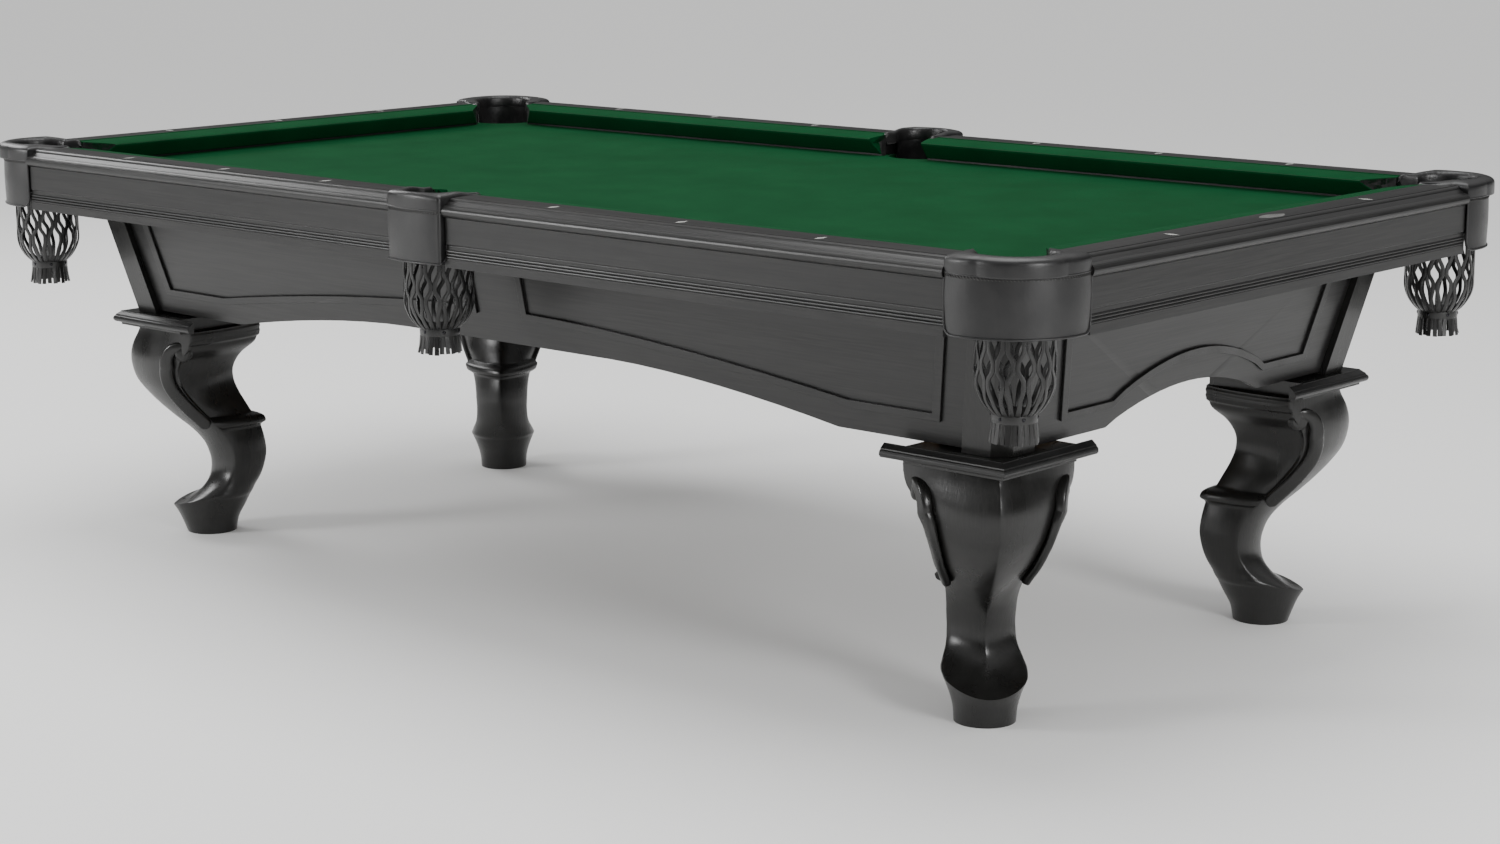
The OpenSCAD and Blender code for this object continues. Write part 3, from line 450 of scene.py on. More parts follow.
# %% World
world = bpy.data.worlds.new("white studio")
bpy.context.scene.world = world
world.use_nodes = True
sky = world.node_tree
rays = add(sky, "LightPath")
direction = add(sky, "SeparateXYZ", {"Vector": add(sky, "TexCoord").outputs["Generated"]})
ceiling = add(sky, "MapRange", {"Value": direction.outputs["Z"], "From Min": 0.15, "From Max": 0.85,
                                          "To Min": 0.05, "To Max": 0.75})
shine = add(sky, "Background", {"Strength": ceiling})
soft = add(sky, "Background", {"Strength": 0.9})
seen = add(sky, "Background", {"Strength": 2.2})
for back in (shine, soft, seen):
    back.inputs["Color"].default_value = (1.0, 1.0, 1.0, 1.0)
unseen = add(sky, "MixShader",
             {0: rays.outputs["Is Glossy Ray"], 1: soft, 2: shine})
whole = add(sky, "MixShader",
            {0: rays.outputs["Is Camera Ray"], 1: unseen, 2: seen})
sky.links.new(whole.outputs[0], sky.nodes["World Output"].inputs["Surface"])

# %% [markdown]
# ## Where things are
# All places come from the frame's boxes. The nose corner is where the lines of two cushion noses
# would meet. A corner pocket is drawn on the diagonal from that corner: u runs outward, w across.

# %% Places read from the frame
bed_low, bed_high = box("bed_cloth")
CLOTH = bed_high[2] - bed_low[2]
BED_Z = bed_high[2]
HALF_L = box("cushion_end_right")[0][0] - CLOTH
HALF_W = box("cushion_back_right")[0][1] - CLOTH
RAIL_TOP = box("rail_back_right")[1][2]
leather_low, leather_high = box("leather_back_right")
ROLL_TOP, HEM = leather_high[2], leather_low[2]
corner_net_low, corner_net_high = box("net_back_right")
side_net_low, side_net_high = box("net_back_middle")
POCKET_IN = (corner_net_low[0] + corner_net_high[0]) / 2 - HALF_L
SIDE_Q = (side_net_low[1] + side_net_high[1]) / 2 - HALF_W
NET_TOP, FRINGE_END = corner_net_high[2], corner_net_low[2]
DIAGONAL = POCKET_IN * math.sqrt(2)
print(f"nose corner {HALF_L:.4f} {HALF_W:.4f}, pocket in {POCKET_IN:.4f}, side pocket at {SIDE_Q:.4f}")


def diagonal_place(sx, sy, origin):
    """Maps (u, w, z), drawn on the diagonal from `origin`, to the quarter of the table with signs
    sx, sy: x = (u - w)/sqrt 2, y = (u + w)/sqrt 2."""
    def put(p):
        x, y = (p[..., 0] - p[..., 1]) / math.sqrt(2), (p[..., 0] + p[..., 1]) / math.sqrt(2)
        return joined(sx * (origin[0] + x), sy * (origin[1] + y), p[..., 2])
    return put


def side_place(sy):
    """Maps (q, x, z) of a side pocket to the table, where q runs outward from the nose line."""
    def put(p):
        return joined(p[..., 1], sy * (HALF_W + p[..., 0]), p[..., 2])
    return put


# %% [markdown]
# ## Padded pocket rolls
# The top of each pocket is a horseshoe of leather stretched over felt and the iron. Its inner edge
# follows the hole and then the two facings; its outer edge follows the cut in the rails and then the
# wide curve of the apron. The cross-section between the two edges is a rounded cushion.

# %% Outlines of the rolls
HOLE_R, SIDE_HOLE_R = 58 * MM, 52 * MM
CUT_R, END_BACK, OUTER_EDGE = 85.5 * MM, 17.5 * MM, 130 * MM
CORNER_HALF_MOUTH, MOUTH_SLOPE = 62 * MM, math.tan(math.radians(7.0))
LOBE_HALF = (OUTER_EDGE + END_BACK) / math.sqrt(2)
LOBE_FOOT = (OUTER_EDGE - END_BACK) / math.sqrt(2)
LOBE_RISE = 63 * MM
LOBE_R = (LOBE_HALF**2 + LOBE_RISE**2) / (2 * LOBE_RISE)
LOBE_C = LOBE_FOOT + LOBE_RISE - LOBE_R


def corner_outlines(count=150):
    """Inner and outer edge as rays from the pocket's centre. A ray at angle t meets a circle about
    (c, 0) of radius R at r = -d cos t + sqrt(R^2 - d^2 sin^2 t), with d the centres' distance, and a
    straight edge at r = distance / cosine; the edge that governs is picked with min and max."""
    t = np.linspace(-1.0, 1.0, count)
    inner_t, outer_t = np.radians(137.5) * t, np.radians(139.5) * t
    side, a = np.abs(inner_t), np.abs(outer_t)
    facing = (CORNER_HALF_MOUTH - MOUTH_SLOPE * (DIAGONAL + CORNER_HALF_MOUTH)) / np.maximum(
        np.sin(side) + MOUTH_SLOPE * np.cos(side), 0.05)
    inner_r = np.where(side > math.pi / 2, np.maximum(HOLE_R, facing), HOLE_R)
    d = DIAGONAL - LOBE_C
    lobe = -d * np.cos(a) + np.sqrt(LOBE_R**2 - (d * np.sin(a)) ** 2)
    edge = (DIAGONAL + END_BACK * math.sqrt(2)) / np.maximum(np.sin(a) - np.cos(a), 0.05)
    outer_r = np.maximum(CUT_R, np.minimum(lobe, edge))
    inner = joined(DIAGONAL + inner_r * np.cos(inner_t), inner_r * np.sin(inner_t))
    outer = joined(DIAGONAL + outer_r * np.cos(outer_t), outer_r * np.sin(outer_t))
    return inner, outer


SIDE_END, SIDE_BULGE, SIDE_FRONT = 64 * MM, 10 * MM, 147 * MM
SIDE_FRONT_R = (SIDE_END**2 + SIDE_BULGE**2) / (2 * SIDE_BULGE)
SIDE_HALF_MOUTH, SIDE_SLOPE, SIDE_ROOT = 65 * MM, math.tan(math.radians(14.0)), 39 * MM


def side_outlines(count=120):
    """The same for a side pocket: outside a gentle front arc and two straight sides, inside the
    hole's circle until the facing is wider, down to the root q where the leather ends."""
    t = np.linspace(-1.0, 1.0, count)
    a = np.radians(125.0) * t
    front = SIDE_FRONT - SIDE_FRONT_R - SIDE_Q
    arc = front * np.cos(a) + np.sqrt(SIDE_FRONT_R**2 - (front * np.sin(a)) ** 2)
    straight = SIDE_END / np.maximum(np.abs(np.sin(a)), 0.2)
    outer_r = np.minimum(arc, straight)
    outer = joined(SIDE_Q + outer_r * np.cos(a), outer_r * np.sin(a))
    b = np.radians(129.0) * t
    facing = (SIDE_HALF_MOUTH - SIDE_SLOPE * SIDE_Q) / np.maximum(
        np.abs(np.sin(b)) + SIDE_SLOPE * np.cos(b), 0.05)
    inner_r = np.where(np.abs(b) > math.pi / 2, np.maximum(SIDE_HOLE_R, facing), SIDE_HOLE_R)
    inner = joined(SIDE_Q + inner_r * np.cos(b), inner_r * np.sin(b))
    return inner, outer


# %% The roll's cross-section
ROLL_H, OUTWARD_FALL, GATHER, ARM_DROOP = 30 * MM, 3 * MM, 0.35 * MM, 5 * MM


def padded_roll(inner, outer, around=36):
    """Rings from edge to edge. With e = 0.55 the loop (cos^e, sin^e) is a rounded box, and e = 0.12
    squares its lower outer corner. The top falls towards the outside, the arms droop to the rails,
    and the section shrinks over the last 3% of each arm so that it closes softly."""
    count = len(inner)
    loop = np.linspace(0.0, 2 * math.pi, around, endpoint=False)
    low_front = (np.cos(loop) > 0) & (np.sin(loop) < 0)
    across = np.where(low_front, power(np.cos(loop), 0.12), power(np.cos(loop), 0.55))
    up = np.where(low_front, power(np.sin(loop), 0.12), power(np.sin(loop), 0.62))
    t = np.linspace(-1.0, 1.0, count)
    closing = np.sqrt(np.clip(1.0 - ((np.abs(t) - 0.97) / 0.03).clip(0, 1) ** 2, 0.04, 1.0))[:, None]
    middle, half = (inner + outer) / 2, (outer - inner) / 2
    plan = middle[:, None, :] + half[:, None, :] * across[None, :, None]
    fall = OUTWARD_FALL * smooth((across + 0.2) / 1.2)[None, :] * (up > 0)[None, :]
    gather = GATHER * np.sin(t * 95.0)[:, None] * smooth(-across)[None, :]
    droop = ARM_DROOP * smooth((np.abs(t) - 0.6) / 0.35)[:, None] * (up > -0.5)[None, :]
    z = ROLL_TOP - ROLL_H / 2 + ROLL_H / 2 * up[None, :] * closing - fall * up[None, :] - gather - droop
    return np.concatenate([plan, np.broadcast_to(z, (count, around))[..., None]], -1)


# %% [markdown]
# ## Aprons, liners and stitching
# Below the roll hangs a stiff leather apron, 4 mm thick, turned under in a hem with a piped edge and
# rounded lower corners. Inside, a liner lets the ball slide down to the net. Both are a flat strip
# of leather bent round a line in plan. Heavy thread joins the apron to the roll.

# %% Bent strips
APRON_T, LINER_T, PIPING_R, SEAM_R = 4 * MM, 3 * MM, 1.9 * MM, 1.5 * MM
SEAM_Z, APRON_TOP = ROLL_TOP - 31.5 * MM, ROLL_TOP - 24 * MM


def side_of(path):
    """Unit normals in plan of a line of points: the tangent turned a right angle outward."""
    tangent = unit(np.gradient(path, axis=0))
    return joined(tangent[:, 1], -tangent[:, 0])


def bent_strip(path, top, bottom, thick, belly=0.0, steps=14):
    """Closed wall round a plan line: down the outside from `top` to `bottom`, with a belly of
    sin(pi v) outward, and back up the inside."""
    v = np.linspace(0.0, 1.0, steps)
    z = top + (bottom[:, None] - top) * v[None, :]
    out = belly * np.sin(math.pi * np.clip(v * 1.1, 0, 1))[None, :] * np.ones((len(path), 1))
    normal = side_of(path)
    outside = np.concatenate([path[:, None, :] + normal[:, None, :] * out[..., None], z[..., None]], -1)
    inset = (out - thick)[:, ::-1]
    inside = np.concatenate([path[:, None, :] + normal[:, None, :] * inset[..., None], z[:, ::-1, None]], -1)
    return np.concatenate([outside, inside], 1)


def tube(path, radius, around=8):
    """A round cord along a line in space: rings r (a cos t + b sin t), where a and b are two unit
    vectors square to the line, from cross products with the vertical-most fixed axis."""
    tangent = unit(np.gradient(path, axis=0))
    reference = np.where(np.abs(tangent[:, 2:3]) > 0.8, [[1.0, 0.0, 0.0]], [[0.0, 0.0, 1.0]])
    a = unit(np.cross(tangent, reference))
    b = np.cross(tangent, a)
    turn = np.linspace(0.0, 2 * math.pi, around, endpoint=False)[None, :, None]
    return path[:, None, :] + radius * (a[:, None, :] * np.cos(turn) + b[:, None, :] * np.sin(turn))


def travelled(path):
    """Distance along a line of points, from 0."""
    return np.concatenate([[0.0], np.cumsum(np.linalg.norm(np.diff(path, axis=0), axis=1))])


def rounded_hem(path, corner=16 * MM):
    """Height of the lower edge: level, and rising in a quarter circle over the last `corner`."""
    s = travelled(path)
    d = np.clip(corner - np.minimum(s, s[-1] - s), 0.0, corner)
    return HEM + corner - np.sqrt(np.maximum(corner**2 - d**2, 0.0))


def stitches(path, spacing=5.2 * MM, length=5.0 * MM, radius=0.75 * MM):
    """Short slanted cords, one every `spacing` along the seam, all leaning the same way."""
    s = travelled(path)
    at = np.arange(spacing, s[-1] - spacing / 2, spacing)
    middle = np.stack([np.interp(at, s, path[:, k]) for k in (0, 1)], -1)
    normal = unit(np.stack([np.interp(at, s, side_of(path)[:, k]) for k in (0, 1)], -1))
    along = joined(-normal[:, 1], normal[:, 0])
    parts = []
    for m, n, t in zip(middle, normal, along):
        v = np.linspace(-1.0, 1.0, 5)[:, None]
        plan = m + n * (0.9 * MM * (1 - v**2) + 0.2 * MM) + t * v * length * 0.36
        line = np.concatenate([plan, SEAM_Z + 0.5 * length * v], -1)
        parts.append(tube(line, radius, 6))
    return parts


def corner_apron_line(inset=1.0 * MM, count=90):
    """The apron's plan line at a corner: the lobe's arc between the two rail ends."""
    half = math.asin(LOBE_HALF / LOBE_R) - 0.006
    t = np.linspace(-half, half, count)
    r = LOBE_R - inset
    return joined(LOBE_C + r * np.cos(t), r * np.sin(t))


def side_apron_line(inset=1.0 * MM, fillet=5 * MM, count=70):
    """The apron's plan line at a side: a return, a rounded corner, the front arc, and back."""
    half = SIDE_END - inset
    front_half = math.asin((half - fillet) / SIDE_FRONT_R)
    t = np.linspace(-front_half, front_half, count)
    r = SIDE_FRONT_R - inset
    arc = joined(SIDE_FRONT - SIDE_FRONT_R + r * np.cos(t), r * np.sin(t))
    corner_q = arc[-1, 0] - fillet
    turn = np.linspace(math.radians(75.0), 0.0, 7)
    bend = joined(corner_q + fillet * np.sin(turn), half - fillet + fillet * np.cos(turn))
    back = joined(np.linspace(corner_q - 1 * MM, 122 * MM, 6), half)
    right = np.concatenate([bend, back])
    left = right[::-1] * [1.0, -1.0]
    return np.concatenate([left, arc, right])


# %% Build the six pocket leathers
def liner_line(radius, centre, limit, count=60):
    """The liner's plan line: an arc about the pocket's centre, open towards the table."""
    t = np.linspace(-limit, limit, count)
    return joined(centre + radius * np.cos(t), radius * np.sin(t))


def make_pocket(name, put, outlines, apron_line, liner):
    """Roll, apron, liner, piping and stitching of one pocket. The roll and the apron stand for the
    frame's solid; the roll is stuffed."""
    node = f"leather_{name}"
    hem = rounded_hem(apron_line)
    padding = loft(put(padded_roll(*outlines)))
    roll = piece(f"pocket_roll_{name}", [padding], leather, [node], 60)
    apron = bent_strip(apron_line, APRON_TOP, hem, APRON_T, belly=1.2 * MM)
    edge = side_of(apron_line)
    hem_line = np.concatenate([apron_line + edge * 0.4 * MM, (hem + 1.2 * MM)[:, None]], -1)
    side = np.linspace(SEAM_Z - 4 * MM, hem_line[0, 2] + 2 * MM, 12)[:, None]
    first = np.concatenate([np.repeat(hem_line[:1, :2], 12, 0), side], -1)
    last = np.concatenate([np.repeat(hem_line[-1:, :2], 12, 0), side[::-1]], -1)
    piping = np.concatenate([first, hem_line, last])
    seam_z = np.full((len(apron_line), 1), SEAM_Z + 3.4 * MM)
    seam = np.concatenate([apron_line + edge * 0.3 * MM, seam_z], -1)
    wall = bent_strip(liner, APRON_TOP, np.full(len(liner), NET_TOP), LINER_T)
    parts = [apron, tube(piping, PIPING_R), tube(seam, SEAM_R), wall]
    piece(f"pocket_apron_{name}", [loft(put(p)) for p in parts], leather, [node], 50)
    sewn = [loft(put(p)) for p in stitches(apron_line)]
    piece(f"pocket_stitches_{name}", sewn, thread, [node], 60)


CORNERS = {"front_left": (-1, -1), "front_right": (1, -1), "back_left": (-1, 1), "back_right": (1, 1)}
SIDES = {"front_middle": -1, "back_middle": 1}
LINER_OUT = 1 * MM + LINER_T
for name, (sx, sy) in CORNERS.items():
    make_pocket(name, diagonal_place(sx, sy, (HALF_L, HALF_W)), corner_outlines(), corner_apron_line(),
                liner_line(HOLE_R + LINER_OUT, DIAGONAL, math.radians(117.0)))
for name, sy in SIDES.items():
    make_pocket(name, side_place(sy), side_outlines(), side_apron_line(),
                liner_line(SIDE_HOLE_R + LINER_OUT, SIDE_Q, math.radians(99.0)))
print("pocket leathers built:", len(CORNERS) + len(SIDES))

# %% [markdown]
# ## Nets
# Each net starts as a tube of leather slit into 24 straps and stretched, like expanded metal: every
# strap leans on its left neighbour at one level and on its right one at the next, which opens a row
# of diamonds between. At the neck they all meet, are riveted to a band, and go on as a slit fringe.

# %% The net as 24 wandering straps
STRAPS, STRAP_W, STRAP_T = 24, 7.0 * MM, 3.2 * MM
LEVELS = np.array([0.0, 42.0, 74.0, 98.0, 130.0, 148.0]) * MM
SWAY = np.array([1.0, -1.0, 1.0, -1.0, 0.0, 0.0])
NECK_R, NECK_DROP, BELLY_R, BELLY_END, FLARE_FROM = (v * MM for v in (31.5, 148, 58, 100, 120))


def bag_radius(drop, top_r):
    """Radius of the bag below its rim: a slight belly, then a curve (1 - v^1.9)^0.8 into the neck."""
    bulge = MM * np.sin(drop / (95 * MM) * math.pi / 2)
    body = top_r + (BELLY_R - top_r) * smooth(drop / (40 * MM)) + bulge
    v = np.clip((drop - BELLY_END) / (NECK_DROP - BELLY_END), 0.0, 1.0)
    return NECK_R + (body - NECK_R) * (1.0 - v**1.9) ** 0.8


def net_parts(top_r, seed):
    """Straps, rim, neck band, closing disc and fringe, about the net's own axis with z = height."""
    drop = np.linspace(4 * MM, NECK_DROP + 4 * MM, 74)
    level = np.interp(drop, LEVELS, np.arange(len(LEVELS)))
    low = np.clip(level.astype(int), 0, len(LEVELS) - 2)
    sway = SWAY[low] + (SWAY[low + 1] - SWAY[low]) * smooth((level - low - 0.12) / 0.76)
    radius = bag_radius(np.minimum(drop, NECK_DROP), top_r) - STRAP_T / 2
    width = STRAP_W + 1.6 * MM * smooth((drop - FLARE_FROM) / (26 * MM))
    shift = (2 * math.pi * radius / STRAPS - width * 0.96) / 2 / radius
    index = np.arange(STRAPS)
    side = np.where(index % 2, -1.0, 1.0)[:, None]
    angle = index[:, None] * 2 * math.pi / STRAPS + side * (sway * shift)[None, :]
    centre = joined(radius * np.cos(angle), radius * np.sin(angle), NET_TOP - drop)
    tangent = unit(np.gradient(centre, axis=1))
    radial = joined(np.cos(angle), np.sin(angle), 0.0)
    across = unit(np.cross(radial, tangent))
    normal = np.cross(tangent, across)
    turn = np.linspace(0.0, 2 * math.pi, 10, endpoint=False)
    loop_a, loop_b = power(np.cos(turn), 0.6), power(np.sin(turn), 0.7)
    half = (width / 2)[None, :, None, None]
    rings = (centre[:, :, None, :] + across[:, :, None, :] * half * loop_a[None, None, :, None]
             + normal[:, :, None, :] * STRAP_T / 2 * loop_b[None, None, :, None])
    parts = [loft(r) for r in rings]
    neck_z = NET_TOP - NECK_DROP
    parts += [band(top_r - 1.4 * MM, NET_TOP - 5 * MM, 10 * MM, 3 * MM),
              band(NECK_R + 0.6 * MM, neck_z - 4 * MM, 15 * MM, 3.2 * MM)]
    disc_turn = np.linspace(0.0, 2 * math.pi, 48, endpoint=False)
    disc_r = NECK_R * 0.98
    disc = np.stack([joined(disc_r * np.cos(disc_turn), disc_r * np.sin(disc_turn), z)
                     for z in (neck_z - 2 * MM, neck_z + 3 * MM)])
    return parts + [loft(disc)] + fringe(neck_z - 8 * MM, seed)


def band(radius, z, height, thick):
    """A closed hoop whose section is a rounded box `height` tall and `thick` wide."""
    turn = np.linspace(0.0, 2 * math.pi, 72, endpoint=False)
    loop = np.linspace(0.0, 2 * math.pi, 14, endpoint=False)
    r = radius + thick / 2 * power(np.cos(loop), 0.5)
    h = z + height / 2 * power(np.sin(loop), 0.5)
    return closed_loft(joined(r * np.cos(turn)[:, None], r * np.sin(turn)[:, None], h))


def fringe(top, seed):
    """24 tongues that flare from the neck to the end, each bent a little in or out by seeded noise."""
    rng = np.random.default_rng(seed)
    v = np.linspace(0.0, 1.0, 12)
    turn = np.linspace(0.0, 2 * math.pi, 8, endpoint=False)
    loop_a, loop_b = power(np.cos(turn), 0.5), power(np.sin(turn), 0.6)
    parts = []
    for k in range(STRAPS):
        lean, twist, short = rng.normal(0.0, 1.0 * MM), rng.normal(0.0, 0.035), rng.uniform(0.0, 2.5 * MM)
        radius = NECK_R + 0.4 * MM + 3.6 * MM * v + lean * v**2
        angle = (k + 0.5) * 2 * math.pi / STRAPS + twist * v
        z = top - (top - FRINGE_END - short) * v
        half = 0.5 * (2 * math.pi * radius / STRAPS) * (0.98 - 0.14 * smooth(v * 2.5))
        radial = joined(np.cos(angle), np.sin(angle), 0.0)
        across = joined(-np.sin(angle), np.cos(angle), 0.0)
        centre = radial * radius[:, None] + joined(0.0, 0.0, z)
        parts.append(loft(centre[:, None, :] + across[:, None, :] * (half[:, None] * loop_a)[..., None]
                          + radial[:, None, :] * (1.2 * MM * loop_b)[None, :, None]))
    return parts


def rivets(count=6, radius=3.2 * MM):
    """Low domes round the neck band: rings r cos v at height 0.6 r sin v along the outward normal."""
    parts = []
    v = np.linspace(0.0, math.pi / 2 * 0.96, 5)
    turn = np.linspace(0.0, 2 * math.pi, 12, endpoint=False)
    for k in range(count):
        a = 2 * math.pi * (k + 0.5) / count
        out = np.array([math.cos(a), math.sin(a), 0.0])
        side = np.array([-math.sin(a), math.cos(a), 0.0])
        up = np.array([0.0, 0.0, 1.0])
        middle = out * (NECK_R + 1.6 * MM) + up * (NET_TOP - NECK_DROP - 4 * MM)
        flat = side * np.cos(turn)[:, None] + up * np.sin(turn)[:, None]
        dome = [middle + radius * (flat * math.cos(h) + out * 0.6 * math.sin(h)) for h in v]
        parts.append(loft(np.stack(dome)))
    return parts


# %% Build the six nets
def make_net(name, centre, top_r, seed):
    """One net, moved from its own axis to the pocket's centre, and its rivets."""
    offset = np.array([centre[0], centre[1], 0.0])
    moved = [(points + offset, faces) for points, faces in net_parts(top_r, seed)]
    piece(f"leather_net_{name}", moved, net_leather, [f"net_{name}"], 50)
    studs = [(points + offset, faces) for points, faces in rivets()]
    piece(f"net_rivets_{name}", studs, gunmetal, [f"net_{name}"], 60)


for seed, (name, (sx, sy)) in enumerate(CORNERS.items()):
    make_net(name, (sx * (HALF_L + POCKET_IN), sy * (HALF_W + POCKET_IN)), HOLE_R + LINER_T, seed)
for seed, (name, sy) in enumerate(SIDES.items()):
    make_net(name, (0.0, sy * (HALF_W + SIDE_Q)), SIDE_HOLE_R + LINER_T, seed + len(CORNERS))
print("nets built:", len(CORNERS) + len(SIDES), "straps in each:", STRAPS)

# %% [markdown]
# ## Cloth on the cushions
# The cloth runs from the feather strip, over the top of the rubber, round the nose and back under it
# to the slate. At each end it is folded over the slanted facing. A grid does it all: one direction
# goes round the section, the other along the rail, and its last columns shrink onto the facing.

# %% Cushion covers
SECTION = np.array([[53.0, -1.0], [44.0, -1.5], [30.0, -2.4], [17.0, -4.0], [7.0, -5.6], [2.6, -6.6],
                    [0.7, -7.4], [0.0, -8.8], [0.5, -10.4], [2.2, -12.2], [6.0, -16.4], [14.0, -25.0],
                    [23.0, -33.6], [29.5, -39.6]]) * MM
SECTION_STEPS, CAP_STEPS, RAIL_STEPS, FOLD = 46, 6, 60, 0.03
FACING = 1.0 / math.tan(math.radians(38.0))
CORNER_REACH = 2 * CORNER_HALF_MOUTH / math.sqrt(2)


def corner_end(q):
    """Where a cushion ends, from the nose corner: on its facing, or on the pocket's round cut."""
    cut = POCKET_IN - np.sqrt(np.maximum((CUT_R + 0.5 * MM) ** 2 - (q - POCKET_IN) ** 2, 0.0))
    return np.minimum(-CORNER_REACH + FACING * q, cut)


def side_end(q):
    """Where a cushion starts at a side pocket, from the middle of the rail."""
    return np.where(q < 40 * MM, SIDE_HALF_MOUTH - SIDE_SLOPE * q, SIDE_END + 0.5 * MM)


def resampled(points, count):
    """The same line with `count` points spaced evenly, after three passes of corner smoothing."""
    for _ in range(3):
        middle = (points[1:] + points[:-1]) / 2
        points = np.concatenate([points[:1], middle, points[-1:]])
    s = travelled(points)
    at = np.linspace(0.0, s[-1], count)
    return np.stack([np.interp(at, s, points[:, k]) for k in (0, 1)], -1)


def grid_faces(rows, cols):
    """Quads of an open grid of rows x cols points."""
    i, j = np.arange(rows - 1)[:, None], np.arange(cols - 1)[None, :]
    here = i * cols + j
    return joined(here, here + cols, here + cols + 1, here + 1).reshape(-1, 4)


def thicken(made, depth):
    """A live modifier that gives an open sheet its thickness, downwards from its face."""
    skin = made.modifiers.new("cloth thickness", "SOLIDIFY")
    skin.thickness = depth
    skin.offset = -1.0


def cushion_cover(name, start, end, put):
    """Grid of points: q and height from the section, position from start(q) to end(q) along the
    rail. In the caps the section shrinks towards a point inside the rubber."""
    section = resampled(SECTION, SECTION_STEPS)
    core = np.array([24.0, -16.0]) * MM
    closing = np.linspace(0.05, 1.0, CAP_STEPS)
    shrink = np.concatenate([closing, np.ones(RAIL_STEPS), closing[::-1]])
    along = np.concatenate([np.zeros(CAP_STEPS), np.linspace(0.0, 1.0, RAIL_STEPS), np.ones(CAP_STEPS)])
    q = core[0] + (section[None, :, 0] - core[0]) * shrink[:, None]
    z = RAIL_TOP + core[1] + (section[None, :, 1] - core[1]) * shrink[:, None]
    x = start(q) + (end(q) - start(q)) * along[:, None]
    grid = put(joined(x, q, z))
    quads = grid_faces(*grid.shape[:2])
    row = len(grid) // 2
    outward = np.cross(grid[row + 1, 0] - grid[row, 0], grid[row, 1] - grid[row, 0])[2]
    faces = quads if outward > 0 else quads[:, ::-1]
    surface = (grid.reshape(-1, 3), faces.tolist())
    made = piece(f"cloth_{name}", [surface], cloth, ["cushion_cloths"], 50)
    thicken(made, CLOTH)


for name, (sx, sy) in CORNERS.items():
    def on_long(p):
        return joined(sx * p[..., 0], sy * (HALF_W + p[..., 1]), p[..., 2])
    cushion_cover(name, side_end, lambda q: HALF_L + corner_end(q), on_long)
for name, sx in {"end_left": -1, "end_right": 1}.items():
    def on_end(p):
        return joined(sx * (HALF_L + p[..., 1]), p[..., 0], p[..., 2])
    cushion_cover(name, lambda q: -HALF_W - corner_end(q), lambda q: HALF_W + corner_end(q), on_end)

# %% [markdown]
# ## Cloth on the bed
# One sheet covers all three slates. It is glued round the slates' edges and rolls down over them at
# each pocket. Column by column along the table, the sheet reaches out to the slate's edge or to the
# pocket's round cut, whichever comes first, and then turns down on a small radius.

# %% Bed cloth
SLATE_L, SLATE_W = bed_high[0], bed_high[1]
BED_CUT, SIDE_CUT, TURN_R, TURN_DOWN, ACROSS = 64.5 * MM, 67.5 * MM, 3 * MM, 18 * MM, 25


def bed_reach(x):
    """Half width of the sheet at x, and the direction in which its edge turns down."""
    reach = np.full_like(x, SLATE_W)
    normal = joined(np.zeros_like(x), np.ones_like(x))
    for cx, cy, r in ((HALF_L + POCKET_IN, HALF_W + POCKET_IN, BED_CUT), (0.0, HALF_W + SIDE_Q, SIDE_CUT)):
        dx = np.abs(x) - cx
        inside = np.abs(dx) < r
        arc = cy - np.sqrt(np.maximum(r**2 - dx**2, 0.0))
        normal[inside] = joined(-np.sign(x) * dx, cy - arc)[inside] / r
        reach[inside] = arc[inside]
    return np.minimum(reach, SLATE_W), normal


def bed_columns():
    """Positions along the table, close together where a cut curves: cosine steps through each arc."""
    turn = np.cos(np.linspace(math.pi, 0.0, 41))
    corner = HALF_L + POCKET_IN + (BED_CUT - 1e-5) * turn
    corner = corner[corner < SLATE_L - MM]
    side = (SIDE_CUT - 1e-5) * turn
    plain = np.linspace(SIDE_CUT + MM, HALF_L + POCKET_IN - BED_CUT - MM, 30)
    right = np.concatenate([plain, corner, [SLATE_L]])
    return np.concatenate([-right[::-1], side, right])


x = bed_columns()
reach, normal = bed_reach(x)
v = np.linspace(-1.0, 1.0, ACROSS)[None, :]
flat = joined(x[:, None], reach[:, None] * v, BED_Z)
bend = np.linspace(0.0, math.pi / 2, 6)[1:]
over = np.concatenate([TURN_R * np.sin(bend), [TURN_R, TURN_R]])
down = np.concatenate([TURN_R * (1 - np.cos(bend)), [TURN_R + TURN_DOWN / 2, TURN_R + TURN_DOWN]])
lip = joined(x[:, None] + normal[:, :1] * over, reach[:, None] + normal[:, 1:] * over, BED_Z - down)
lip[..., 0] = np.clip(lip[..., 0], -SLATE_L, SLATE_L)
grid = np.concatenate([(lip * [1.0, -1.0, 1.0])[:, ::-1], flat, lip], 1)
quads = grid_faces(*grid.shape[:2])
bed = piece("cloth_bed", [(grid.reshape(-1, 3), quads.tolist())], cloth, ["bed_cloth"], 60)
thicken(bed, CLOTH * 0.9)

# %% [markdown]
# ## Carved legs
# A leg is cut out of a square block. Its plan is a square set on the diagonal: a ridge points out to
# the corner of the table, and two plain faces look in. It swells to a knee under the block, narrows
# to an ankle and flares into a hoof. The hoof's hollow front meets the round pad under it in a sharp
# edge that dips to the toe. The inner faces are cut back, so a carved strap stands out at each side.

